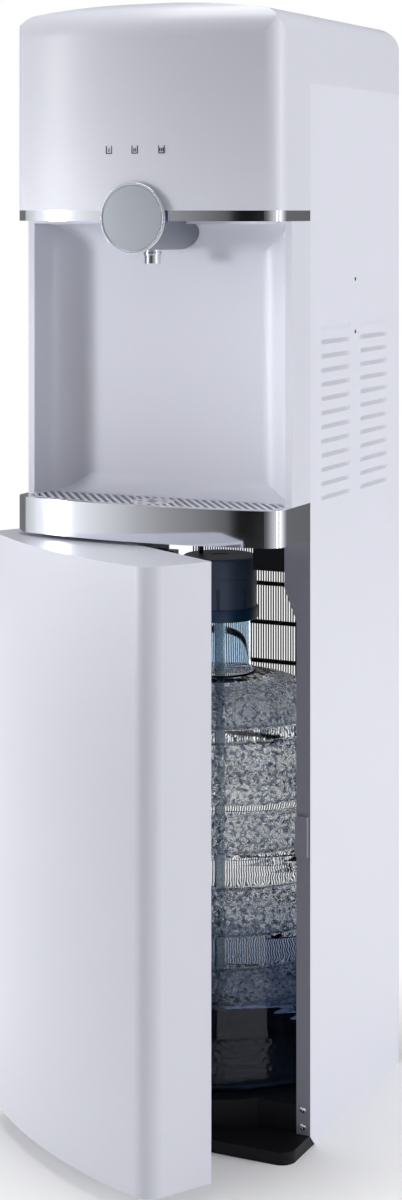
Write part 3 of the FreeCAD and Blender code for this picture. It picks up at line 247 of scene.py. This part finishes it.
# the share of the light colour at each height; the low shares towards the foot and over the
# shoulder are painted shade
BOTTLE_SHADE_TONES = [(0.04, 0), (0.125, 0.03), (0.140, 0.5), (0.166, 0.68), (0.20, 0.97),
                (0.238, 0.95), (0.28, 1), (0.40, 1), (0.415, 0.65), (0.45, 0.5)]


def bottle_plastic():
    """Clear blue plastic with a hammered face, plain at its grooves and darker towards the foot.

    The hammered face is the outer side of the wall alone: where a point is further from the
    bottle's axis than the inner side, or over the shoulder's start. The darkening towards the foot
    and over the shoulder is painted shade, a thin dark line of painted shade marks both edges of
    each plain band, and small dark specks of painted shade, standing in for the specks that
    refraction makes, lie where the hammering's noise is low.
    """
    shoulder, inner_radius = 0.386, 0.1272
    hammered_end, plain_start, neck_start = 0.436, 0.442, 0.452
    fade, line = 0.0015, 0.0014
    cell_count, facet_dark, facet_light, facet_depth = 215.0, 0.405, 0.45, 0.92
    finish = Finish("blue_clear_plastic", {"Transmission Weight": 1.0, "IOR": CLEAR_IOR})
    height = finish.along("Z") * (1 / BOTTLE_TOP)

    def by_height(levels):
        return finish.ramp([(level / BOTTLE_TOP, tone) for level, tone in levels], height)

    # the second list is a thin dark line of painted shade at each edge of a plain band
    plain, band_edge_shade = [(0.0, 0)], [(0.0, 1)]
    for middle, half in PLAIN_BANDS:
        for edge, under, over in ((middle - half, 1, 0), (middle + half, 0, 1)):
            plain += [(edge - fade, under), (edge + fade, over)]
            band_edge_shade += [(edge - line, 1), (edge, 0), (edge + line, 1)]
    hammered = by_height(plain + [(hammered_end, 1), (plain_start, 0)])
    away = (finish.maths_of("POWER", finish.along("X"), 2)
            + finish.maths_of("POWER", finish.along("Y") - BOTTLE_Y, 2))
    outside = height.above(shoulder / BOTTLE_TOP).either(away.above(inner_radius ** 2)) * hammered
    # dark specks where the noise is low: painted shade standing in for the refraction's dark
    # specks
    cells = finish.noise(cell_count, detail=1.0)
    painted_specks = finish.ramp([(0.0, 0), (facet_dark, 0), (facet_light, 1)], cells)
    facet_shade = 1 - outside * (1 - painted_specks) * facet_depth
    # painted shade: darker towards the foot and over the shoulder, dark lines at the bands' edges
    # and dark specks on the hammered face
    tone = by_height(BOTTLE_SHADE_TONES) * by_height(band_edge_shade) * facet_shade
    # the dark blue is the colour of all this painted shade
    wall = finish.mixed(tone, (0.19, 0.24, 0.35), (0.98, 0.99, 1.0))
    neck = height.above(neck_start / BOTTLE_TOP)
    finish.feed("Base Color", finish.mixed(neck, wall, (0.74, 0.88, 1.0)))
    finish.uneven_gloss(0.04, swing=0.04, scale=40.0)
    finish.relief(cells * outside, depth=0.0008)
    return finish.material


def probe_navy():
    """Navy plastic with a finely grained face; the ring round the cap's foot is a clearer blue."""
    ring_top = 0.515
    finish = Finish("navy_plastic", {"IOR": PLASTIC_IOR})
    over_ring = finish.along("Z").above(ring_top)
    finish.feed("Base Color", finish.mixed(over_ring, (0.010, 0.055, 0.13), (0.072, 0.10, 0.17)))
    finish.uneven_gloss(0.38)
    finish.relief(finish.noise(1400.0), depth=0.00002)
    return finish.material


def foam_beads():
    """Expanded foam: pressed round beads of about three millimetres."""
    finish = Finish("foam_beads", {})
    beads = finish.add("ShaderNodeTexVoronoi", values={"Vector": finish.place, "Scale": 320.0},
                       output="Distance")
    # the colour darkens from each bead's middle to its edge: painted shade in the seams between
    # beads
    finish.feed("Base Color", finish.mixed(beads, (0.86, 0.86, 0.83), (0.7, 0.7, 0.67)))
    finish.feed("Roughness", beads * 0.2 + 0.7)
    finish.relief(1 - beads, depth=0.0006)
    return finish.material


def board_lacquer():
    """Green lacquer over copper tracks that run along X and Z."""
    run, width, share_bare = 60, 900, 0.28
    finish = Finish("board_lacquer", {})
    across = finish.noise(1.0, detail=0.0, place=finish.stretched((run, 1, width)))
    along = finish.noise(1.0, detail=0.0, place=finish.stretched((width, 1, run)))
    tracks = (across * along).above(share_bare)
    finish.feed("Base Color", finish.mixed(tracks, (0.01, 0.09, 0.03), (0.03, 0.2, 0.07)))
    finish.feed("Roughness", tracks * 0.15 + 0.3)
    finish.relief(tracks, depth=0.00003)
    return finish.material


COAT_WHITE = (0.71, 0.72, 0.80)

FINISHES = {
    "white_plastic": moulded("white_gloss_plastic", (0.70, 0.71, 0.79), 0.30, grain=700.0,
                             coat=0.3, spread=0.01),
    # the dark grey inside is partly back coat, partly painted shade of the case's inside
    "white_steel": coated_sheet("white_powder_coat", COAT_WHITE, (0.10, 0.11, 0.13), 0.42),
    "post_grey": moulded("grey_satin_paint", (0.26, 0.26, 0.31), 0.45, grain=1300.0,
                         depth=0.00004),
    "black_plastic": moulded("black_grained_plastic", (0.004, 0.004, 0.006), 0.45, grain=1800.0,
                             depth=0.00008, spread=0.2, shine=0.2),
    "chrome": plated("bright_chrome", (0.78, 0.80, 0.87), 0.07),
    "disc_face": moulded("grey_satin_lacquer", (0.40, 0.43, 0.48), 0.35, grain=1600.0,
                         spread=0.02),
    "tray_grey": moulded("light_grey_plastic", (0.62, 0.62, 0.69), 0.4, depth=0.00004),
    "plated_steel": brushed("zinc_plated_steel", (0.62, 0.62, 0.64), 0.35, (40, 900, 900)),
    "bottle_blue": bottle_plastic(),
    "probe_navy": probe_navy(),
    "tube_clear": clear("milky_clear_tube", (0.55, 0.62, 0.67), 0.27),
    "rubber_black": moulded("black_rubber", (0.012, 0.012, 0.013), 0.6, grain=2200.0,
                            depth=0.0001, spread=0.2),
    "black_enamel": moulded("black_baked_enamel", (0.006, 0.006, 0.007), 0.3, grain=900.0,
                            depth=0.00003, spread=0.2),
    "copper": plated("drawn_copper", (0.72, 0.36, 0.22), 0.25),
    "tank_steel": brushed("brushed_tank_steel", (0.66, 0.66, 0.67), 0.3, (900, 900, 25)),
    "foam": foam_beads(),
    "board_green": board_lacquer(),
    "fitting_white": moulded("white_fitting_plastic", (0.7, 0.7, 0.68), 0.45, depth=0.00004),
    "switch_red": moulded("red_switch_plastic", (0.5, 0.015, 0.015), 0.2, coat=0.3),
    "switch_green": moulded("green_switch_plastic", (0.01, 0.25, 0.06), 0.2, coat=0.3),
    "icon_grey": moulded("dark_grey_inlay", (0.05, 0.05, 0.08), 0.4, grain=1800.0),
}
BLADE_COAT = moulded("white_blade_coat", COAT_WHITE, 0.42, grain=1100.0, depth=0.00004,
                     spread=0.01)
# the tap's barrel: a darker satin lacquer than the disc, darkened further as painted shade under
# the head
TAP_LACQUER_AND_SHADE = moulded("dark_satin_lacquer_and_shade", (0.16, 0.175, 0.21), 0.32, grain=1600.0)

for subpart in frame["record"]["subparts"]:
    node = NODES[subpart["node"]]
    node.data.materials.clear()
    node.data.materials.append(FINISHES[subpart["material_slot"]])
# the barrel's darker lacquer is partly its own finish and partly painted shade
NODES["tap_housing"].data.materials[0] = TAP_LACQUER_AND_SHADE


# ---------------------------------------------------------------- surfaces

def grid_faces(rows, columns, wrap_rows):
    """Quads between neighbouring points of a grid that is closed across its columns."""
    row = np.arange(rows if wrap_rows else rows - 1)[:, None]
    column = np.arange(columns)[None, :]
    next_row, next_column = (row + 1) % rows, (column + 1) % columns
    corners = [(row, column), (row, next_column), (next_row, next_column), (next_row, column)]
    return np.stack([(r * columns + c).ravel() for r, c in corners], axis=1)


def add_piece(name, points, slot, body, replaced=(), wrap_rows=False, sharp=35.0, finish=None):
    """A mesh through one grid of points, or through each of a row of equal grids, on its body.

    Doubles are merged, faces turned outwards and all edges smoothed but those sharper than an
    angle in degrees. The piece shows its slot's finish, unless it is given another.
    """
    points = np.asarray(points, float)
    rows, columns = points.shape[-3:-1]
    copies = points.size // (rows * columns * 3)
    starts = (np.arange(copies) * rows * columns)[:, None, None]
    mesh = bpy.data.meshes.new(name)
    mesh.from_pydata(points.reshape(-1, 3), [],
                     (grid_faces(rows, columns, wrap_rows) + starts).reshape(-1, 4))
    work = bmesh.new()
    work.from_mesh(mesh)
    bmesh.ops.remove_doubles(work, verts=work.verts, dist=0.000005)
    bmesh.ops.dissolve_degenerate(work, edges=work.edges, dist=0.000001)
    bmesh.ops.recalc_face_normals(work, faces=work.faces)
    work.to_mesh(mesh)
    work.free()
    mesh.shade_smooth()
    mesh.set_sharp_from_angle(angle=math.radians(sharp))
    mesh.materials.append(finish or FINISHES[slot])
    piece = bpy.data.objects.new(name, mesh)
    bpy.context.scene.collection.objects.link(piece)
    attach(piece, body)
    if replaced:
        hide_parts(*replaced)
    return piece


def quarter(radius, height, bend, start, steps=5):
    """A quarter circle in a profile: its middle, its bend radius and its start in degrees."""
    turn = np.radians(np.linspace(start, start + 90, steps))
    return np.stack([radius + bend * np.cos(turn), height + bend * np.sin(turn)], axis=1)


def full_turn(sides):
    return np.linspace(0, math.tau, sides, endpoint=False)


def lathe(profile, centre, sides=96, axis="Z"):
    """Each (radius, height) of a profile carried round Z or Y.

    A point is the centre, plus the radius times (cos a, sin a), plus the height along the axis.
    """
    profile = np.asarray(profile, float)
    angle = full_turn(sides)
    across = profile[:, :1] * np.cos(angle)
    aside = profile[:, :1] * np.sin(angle)
    height = np.repeat(profile[:, 1:], sides, axis=1)
    order = (across, aside, height) if axis == "Z" else (across, height, aside)
    return np.stack(order, axis=2) + np.asarray(centre, float)


def ripples(angle, height, seed):
    """Small even hills on an unrolled wall: the sum of plane waves in random directions."""
    waves, per_metre, spread = 14, 800, 3.7
    source = np.random.default_rng(seed)
    total = np.zeros_like(angle)
    headings, phases = source.uniform(0, math.pi, waves), source.uniform(0, math.tau, waves)
    for heading, phase in zip(headings, phases):
        total += np.cos(per_metre * (np.cos(heading) * angle + np.sin(heading) * height) + phase)
    return total / spread


def make_bottle():
    """A blown bottle: hammered bands and ringed grooves, a domed shoulder and a flared neck.

    The wall's radius at a height is the main radius, less a smooth groove at each plain band,
    which carries a fine cosine wave of rings. The shoulder is a quarter ellipse, and the flare
    eases into the neck as a power curve. Low hills, drawn inwards along the radius, cover the
    bands between. The inner wall is every fourth point of the outer, moved in.
    """
    low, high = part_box("bottle")
    radius, wall, foot, top = (high.x - low.x) / 2, 0.0015, low.z, high.z
    heel_radius, heel_width, heel = 0.112, 0.020, 0.018
    edge, shoulder, dome, flare, neck = foot + heel, 0.385, 0.057, 0.018, 0.0325
    groove_depth, ring_depth, ring_pitch, flare_power = 0.0016, 0.0002, 0.0095, 2.4
    hill_depth, hills_over_edge, hills_over_shoulder, seam_width = 0.00035, 0.004, 0.052, 0.01
    band_margin, hill_room, dome_turn, sides = 0.002, 0.0006, math.radians(84), 340

    turn = np.linspace(0, math.pi / 2, 9)
    foot_curve = np.stack([heel_radius + heel_width * np.sin(turn), edge - heel * np.cos(turn)],
                          axis=1)
    rise = np.linspace(edge, shoulder, 168)[1:-1]
    middles, halves = np.array(PLAIN_BANDS).T
    groove = np.exp(-((rise[:, None] - middles) / halves) ** 4).sum(axis=1)
    rings = 0.5 - 0.5 * np.cos(math.tau * rise / ring_pitch)
    wall_curve = np.stack([radius - groove * (groove_depth + ring_depth * rings), rise], axis=1)
    turn = np.linspace(0, dome_turn, 36)
    dome_curve = np.stack([neck + (radius - neck) * np.cos(turn),
                           shoulder + dome * np.sin(turn)], axis=1)
    share = np.linspace(0, 1, 10)[1:]
    start_radius, start = dome_curve[-1]
    flare_curve = np.stack([neck + (start_radius - neck) * (1 - share) ** flare_power,
                            start + (shoulder + dome + flare - start) * share], axis=1)
    outer = np.vstack([[(0, foot)], foot_curve, wall_curve, dome_curve, flare_curve,
                       [(neck, top)]])

    points = lathe(outer, (0, BOTTLE_Y, 0), sides)
    turn = full_turn(sides)
    angle = np.broadcast_to(turn, points.shape[:2]) * radius
    height = np.broadcast_to(outer[:, 1:], points.shape[:2])
    level = outer[:, 1]
    zone = 1.0 * ((level > edge + hills_over_edge) & (level < shoulder + hills_over_shoulder))
    bands = np.exp(-((outer[:, 1:] - middles) / (halves + band_margin)) ** 6).sum(axis=1)
    zone *= 1 - np.minimum(1, bands)
    seam = np.minimum(1, np.minimum(angle, angle.max() - angle) / seam_width)
    hills = -hill_depth * (1 + ripples(angle, height, seed=7)) * zone[:, None] * seam
    points[:, :, 0] += hills * np.cos(turn)
    points[:, :, 1] += hills * np.sin(turn)

    inside = outer[1:-1:4] - (wall + hill_room, 0)
    inside[:, 1] = np.maximum(inside[:, 1], foot + wall)
    inner = np.vstack([[(0, foot + wall)], inside, [(neck - wall, top)]])[::-1]
    add_piece("clear_bottle", np.vstack([points, lathe(inner, (0, BOTTLE_Y, 0), sides)]),
              "bottle_blue", "cabinet", ["bottle"])


def make_probe_cap():
    """The cap on the bottle's neck: a profile carried round, with narrow slits pressed into it.

    A slit lowers the radius where the angle to the nearest slit's middle, times the radius, is
    under half its width.
    """
    low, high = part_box("probe_cap")
    ring = (high.x - low.x) / 2
    wall, skirt, ledge, seat = ring - 0.001, 0.0327, low.z + 0.013, low.z + 0.018
    slit_top, slit_half_width, slit_depth_share, slits = low.z + 0.034, 0.0011, 0.05, 8
    first_slit, skin = math.radians(22.5), 0.034
    top_bend, ring_bend, step, bevel, hair = 0.003, 0.0006, 0.0004, 0.0005, 0.0002
    well, well_lip, well_depth = 0.009, 0.0098, 0.0008
    groove_low, groove_high = slit_top + 0.01, slit_top + 0.012
    socket, socket_depth = 0.0058, 0.009
    profile = np.vstack([
        [(0, high.z - well_depth), (well, high.z - well_depth), (well_lip, high.z)],
        quarter(wall - top_bend, high.z - top_bend, top_bend, 0, 7)[::-1],
        [(wall, groove_high), (wall - step, groove_high - bevel),
         (wall - step, groove_low + bevel), (wall, groove_low), (wall, slit_top + step),
         (wall, slit_top), (wall, ledge + ring_bend), (wall, ledge + hair)],
        quarter(ring - ring_bend, ledge - ring_bend, ring_bend, 0)[::-1],
        quarter(ring - ring_bend, low.z + ring_bend, ring_bend, -90)[::-1],
        [(skirt, low.z), (skirt, seat), (socket, seat), (socket, seat + socket_depth),
         (0, seat + socket_depth)]])
    sides = 480
    points = lathe(profile, (0, 0, 0), sides)
    gap = math.tau / slits
    aside = (full_turn(sides) - first_slit + gap / 2) % gap - gap / 2
    slit = np.abs(aside) * wall < slit_half_width
    reach, level = profile.T
    walled = (level > ledge + step) & (level < slit_top + hair) & (reach > skin)
    points[:, :, :2] *= (1 - slit_depth_share * (walled[:, None] & slit))[:, :, None]
    points[:, :, 1] += BOTTLE_Y
    add_piece("probe_cap_shell", points, "probe_navy", "probe", ["probe_cap"])


def make_hose():
    """The probe's short hose: a tube whose outside is a fine cosine wave along its length.
    """
    low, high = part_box("probe_hose")
    radius, bore, fold, pitch, lift = (high.x - low.x) / 2, 0.0016, 0.0004, 0.0029, 0.03
    rise = np.linspace(low.z, high.z, 120)
    wave = 0.5 - 0.5 * np.cos(math.tau * (rise - low.z) / pitch)
    outside = np.stack([radius - fold * wave, rise], axis=1)
    profile = np.vstack([outside, [(bore, high.z), (bore, low.z)]])
    middle = ((low.x + high.x) / 2, (low.y + high.y) / 2)
    hose = add_piece("probe_hose_folds", lathe(profile, (*middle, 0), 32), "rubber_black",
                     "cabinet", ["probe_hose"], wrap_rows=True, sharp=50.0)
    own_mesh(hose)


def make_button():
    """The disc on its stem and the bright ring round it: profiles with small round edges."""
    low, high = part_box("push_disc")
    edge, front, end = (high.x - low.x) / 2, low.y, high.y
    rim, back, bend, stem = edge - 0.0004, front + 0.0031, 0.0006, 0.0057
    profile = np.vstack([[(0, front)], quarter(rim - bend, front + bend, bend, -90),
                         quarter(rim - bend, back - bend, bend, 0),
                         [(stem, back), (stem, end - bend), (stem - bend, end), (0, end)]])
    add_piece("push_disc_face", lathe(profile, (0, 0, TAP_HEIGHT), 128, "Y"), "disc_face",
              "button", ["push_disc"])
    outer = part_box("disc_ring")[1].x
    profile = np.vstack([quarter(outer - bend, front + bend, bend, -90),
                         quarter(outer - bend, back - bend, bend, 0),
                         quarter(edge + bend, back - bend, bend, 90),
                         quarter(edge + bend, front + bend, bend, 180)])
    add_piece("disc_ring_bright", lathe(profile, (0, 0, TAP_HEIGHT), 128, "Y"), "chrome",
              "button", ["disc_ring"], wrap_rows=True)


def make_nozzle():
    """The nozzle: a tube with a round lip, a collar with round edges and a plain root."""
    low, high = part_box("nozzle")
    bore, tip, collar, step = 0.005, 0.0084, 0.0094, low.z + 0.009
    lip, bend, collar_height, root = 0.0004, 0.0006, 0.0024, step + 0.0032
    profile = np.vstack([[(bore, low.z + lip)], quarter(bore + lip, low.z + lip, lip, 180),
                         quarter(tip - bend, low.z + bend, bend, -90), [(tip, step)],
                         quarter(collar - bend, step + bend, bend, -90),
                         quarter(collar - bend, step + collar_height, bend, 0),
                         [(tip, root), (tip, high.z), (bore, high.z)]])
    add_piece("nozzle_spout", lathe(profile, (0, (low.y + high.y) / 2, 0), 64), "chrome",
              "cabinet", ["nozzle"], wrap_rows=True)


def make_spring():
    """The return spring: a round wire that runs round the stem as a helix, closed at both ends."""
    low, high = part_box("button_spring")
    wire, turns, steps, sides = 0.001, 4.5, 180, 12
    radius = (high.x - low.x) / 2 - wire
    run = np.linspace(0, 1, steps)[:, None]
    turn = math.tau * turns * run
    middle = low.y + wire + (high.y - low.y - 2 * wire) * run
    round_wire = full_turn(sides)[None, :]
    thick = wire * np.where((run == 0) | (run == 1), 0, 1)
    reach = radius + thick * np.cos(round_wire)
    points = np.stack([reach * np.cos(turn), middle + thick * np.sin(round_wire),
                       TAP_HEIGHT + reach * np.sin(turn)], axis=2)
    add_piece("return_spring", points, "plated_steel", "button", ["button_spring"])


def make_screws():
    """Domed screw heads with a cross pressed in: two on each post and four on each rear edge.

    The height over the plate falls with the square of the radius. The cross is where a point
    lies within half its arm's width of either axis and inside its length.
    """
    dome, fall, cross_depth, arm_half_width, arm_length = 0.00135, 0.45, 0.0007, 0.13, 0.62
    post_x, post_heights, post_radius = 0.1395, (0.0207, 0.038), 0.0032
    rear_x, rear_low, rear_pitch, rear_radius = 0.14, 0.6635, 0.11, 0.004
    places = [(x, FRONT, z, -1, post_radius) for x in (-post_x, post_x) for z in post_heights]
    places += [(x, REAR, rear_low + rear_pitch * step, 1, rear_radius)
               for x in (-rear_x, rear_x) for step in range(4)]
    share = np.concatenate([np.linspace(0, 1, 15), [1, 0]])[:, None]
    turn = full_turn(64)[None, :]
    across, up = share * np.cos(turn), share * np.sin(turn)
    arm = (np.minimum(np.abs(across), np.abs(up)) < arm_half_width) & (share < arm_length)
    height = dome * (1 - fall * share ** 2) - cross_depth * arm
    height[-2:] = 0
    heads = [np.stack([x + radius * across, y + outward * height, z + radius * up], axis=2)
             for x, y, z, outward, radius in places]
    add_piece("screw_heads", heads, "plated_steel", "cabinet", ["cabinet_screws"], sharp=30.0,
              finish=FINISHES["chrome"])


def closed_ends(grid):
    """A grid with one more row at each end, whose points all lie in the middle of that end."""
    first, last = [row.mean(axis=1, keepdims=True) + 0 * row for row in (grid[:1], grid[-1:])]
    return np.concatenate([first, grid, last])


def make_louvres():
    """Pressed louvre blades behind the slots of both side panels.

    A blade starts flush at its slot's lower edge and leans inwards as it rises, as a sine of the
    share of its height, and its depth falls to nothing at both ends as a power of the share of
    its length. The top row, in front of the shelf's flange, leans less.
    """
    low, high, lean, top_lean = 0.6417, 0.6472, 0.0026, 0.0006
    starts, length, levels, pitch = (-0.0742, 0.0342), 0.0804, 13, 0.0143
    under_skin, thickness = 0.0002, 0.0008
    share = np.linspace(0, 1, 9)[:, None]
    along = np.linspace(0, 1, 41)[None, :]
    taper = 1 - np.abs(2 * along - 1) ** 8
    slope = np.sin(share * math.pi / 2) * taper
    rise = low + (high - low) * share + 0 * along
    run = length * along + 0 * share
    blades = []
    for sign in (-1, 1):
        for start in starts:
            for level in range(levels):
                depth = slope * (top_lean if level == levels - 1 else lean)
                skin = sign * (HALF_WIDTH - under_skin - depth)
                outer = np.stack([skin, start + run, rise + pitch * level], axis=2)
                inner = outer - (sign * thickness, 0, 0)
                blades.append(closed_ends(np.concatenate([outer, inner[:, ::-1]], axis=1)))
    add_piece("louvre_blades", blades, "white_steel", "cabinet", finish=BLADE_COAT)


make_bottle()
make_probe_cap()
make_hose()
make_button()
make_nozzle()
make_spring()
make_screws()
make_louvres()


# ---------------------------------------------------------------- stage

# the light from all round, and the screen's tone at each heading in degrees
WORLD_LIGHT = 0.22
SCREEN_TONES = [(-180, 0.2), (-64, 0.2), (-55, 0.5), (-52, 1), (-41, 1), (-38, 0.88), (-33, 0.73),
                (-25, 0.5), (-18, 0.35), (-10, 0.24), (-3, 0.13), (-1, 0.01), (3, 0.01),
                (8, 0.06), (25, 0.2), (60, 0.67), (88, 1), (106, 1), (127, 0.48), (157, 0.12),
                (180, 0.2)]


def add_stage_mesh(name, corners, faces, material):
    mesh = bpy.data.meshes.new(name)
    mesh.from_pydata(corners, [], faces)
    mesh.materials.append(material)
    item = bpy.data.objects.new(name, mesh)
    bpy.context.scene.collection.objects.link(item)
    return item


def seen_rays(finish):
    """1 for rays that see the floor: from the camera, off gloss and through clear plastic."""
    names = ("Is Camera Ray", "Is Glossy Ray", "Is Transmission Ray")
    camera, glossy, through = [finish.add("ShaderNodeLightPath", output=name) for name in names]
    return finish.add("ShaderNodeClamp", values={"Value": camera + glossy + through})


def make_floor():
    """A pale floor that keeps the shadow near the object and fades to white further out."""
    reach, fade_start, fade_end = 8.0, 0.16, 0.5
    finish = Finish("pale_floor", {"Base Color": (0.9, 0.9, 0.92, 1), "Roughness": 0.9,
                                   "Specular IOR Level": 0.1})
    distance = finish.add("ShaderNodeVectorMath", {"operation": "LENGTH"}, {0: finish.place},
                          output="Value")
    far = finish.add("ShaderNodeMapRange", {"interpolation_type": "SMOOTHSTEP"},
                     {"Value": distance, "From Min": fade_start, "From Max": fade_end})
    white = finish.tree.nodes.new("ShaderNodeEmission")
    blend = finish.tree.nodes.new("ShaderNodeMixShader")
    output = finish.tree.nodes["Material Output"]
    links = finish.tree.links
    links.new((far * seen_rays(finish)).socket, blend.inputs[0])
    links.new(finish.shader.outputs[0], blend.inputs[1])
    links.new(white.outputs[0], blend.inputs[2])
    links.new(blend.outputs[0], output.inputs["Surface"])
    corners = [(-reach, -reach, 0), (reach, -reach, 0), (reach, reach, 0), (-reach, reach, 0)]
    add_stage_mesh("floor", corners, [(0, 1, 2, 3)], finish.material)


def make_world():
    """Soft light from all round, and plain white for what is seen directly."""
    world = bpy.data.worlds.new("studio")
    bpy.context.scene.world = world
    world.use_nodes = True
    nodes, links = world.node_tree.nodes, world.node_tree.links
    soft = nodes["Background"]
    soft.inputs["Color"].default_value = (1, 1, 1, 1)
    soft.inputs["Strength"].default_value = WORLD_LIGHT
    white = nodes.new("ShaderNodeBackground")
    white.inputs["Color"].default_value = (1, 1, 1, 1)
    path = nodes.new("ShaderNodeLightPath")
    seen = path.outputs["Is Camera Ray"]
    for name in ("Is Transmission Ray", "Is Glossy Ray"):
        either = nodes.new("ShaderNodeMath")
        either.operation = "MAXIMUM"
        links.new(seen, either.inputs[0])
        links.new(path.outputs[name], either.inputs[1])
        seen = either.outputs[0]
    blend = nodes.new("ShaderNodeMixShader")
    links.new(seen, blend.inputs[0])
    links.new(soft.outputs[0], blend.inputs[1])
    links.new(white.outputs[0], blend.inputs[2])
    links.new(blend.outputs[0], nodes["World Output"].inputs["Surface"])


def make_screen():
    """A round screen that gloss alone shows: lit panels to both sides, with a dark gap between.

    Its tone follows the heading round the object, from -180 degrees behind it, over -90 at its
    left and 0 in front, to 90 at its right.
    """
    sides, reach, low, high = 128, 3.4, -0.02, 5.0
    finish = Finish("studio_screen", {})
    heading = finish.maths_of("ARCTAN2", finish.along("X"), finish.along("Y") * -1)
    stops = [((degrees + 180) / 360, tone) for degrees, tone in SCREEN_TONES]
    tone = finish.ramp(stops, heading * (1 / math.tau) + 0.5)
    glow = finish.tree.nodes.new("ShaderNodeEmission")
    finish.tree.links.new(tone.socket, glow.inputs["Color"])
    output = finish.tree.nodes["Material Output"]
    finish.tree.links.new(glow.outputs[0], output.inputs["Surface"])
    turn = full_turn(sides)
    ring = np.stack([reach * np.sin(turn), -reach * np.cos(turn)], axis=1)
    corners = np.vstack([np.column_stack([ring, np.full(sides, level)]) for level in (low, high)])
    screen = add_stage_mesh("screen", corners, grid_faces(2, sides, False), finish.material)
    for rays in ("camera", "diffuse", "transmission", "shadow", "volume_scatter"):
        setattr(screen, "visible_" + rays, False)


def add_lamp(name, place, aim, size, watts, spread=180, in_gloss=True):
    """A lamp of a width and length; spread is the angle in degrees that its light fills."""
    light = bpy.data.lights.new(name, "AREA")
    light.spread = math.radians(spread)
    light.shape = "RECTANGLE"
    light.size, light.size_y = size
    light.energy = watts
    item = bpy.data.objects.new(name, light)
    item.location = place
    item.rotation_euler = (Vector(aim) - Vector(place)).to_track_quat("-Z", "Y").to_euler()
    item.visible_glossy = in_gloss
    bpy.context.scene.collection.objects.link(item)


def add_side_lamp(name, heading, height, size, watts, distance=3.0, aim=0.65, **settings):
    """A lamp beside the object: its heading in degrees, its height and the height it faces."""
    turn = math.radians(heading)
    place = (distance * math.sin(turn), -distance * math.cos(turn), height)
    add_lamp(name, place, (0, -0.1, aim), size, watts, **settings)


def make_lamps():
    """Wide lamps that gloss doesn't show, narrow ones that it does, and one overhead."""
    wide, narrow = (1.2, 2.2), (0.12, 2.0)
    add_side_lamp("left_softbox", -80, 1.1, wide, 44, in_gloss=False)
    add_side_lamp("left_strip", -46, 1.0, (0.25, 2.0), 14)
    add_side_lamp("back_softbox", 180, 1.1, wide, 22, in_gloss=False)
    add_side_lamp("right_softbox", 100, 1.1, wide, 44, in_gloss=False)
    add_side_lamp("right_strip", 76, 1.0, narrow, 5)
    add_side_lamp("corner_strip", 97, 1.0, narrow, 4)
    add_side_lamp("alcove_lamp", -40, 0.8, (1.1, 0.3), 0.6, distance=2.2, aim=0.79, spread=16,
                  in_gloss=False)
    add_lamp("top_softbox", (0, -0.3, 3.0), (0, 0, 0.8), (1.6, 1.6), 32)


def make_camera():
    """The photograph's view: level, at the tap's height, from the front right."""
    data = bpy.data.cameras.new("camera")
    data.sensor_width = 36.0
    data.lens = 68.22
    data.shift_y = -0.3252
    item = bpy.data.objects.new("camera", data)
    item.location = (1.0138, -2.1971, 0.9352)
    item.rotation_euler = (math.pi / 2, 0, math.radians(25.2165))
    bpy.context.scene.collection.objects.link(item)
    bpy.context.scene.camera = item


make_floor()
make_world()
make_screen()
make_lamps()
make_camera()
bpy.context.scene.view_settings.view_transform = "Standard"
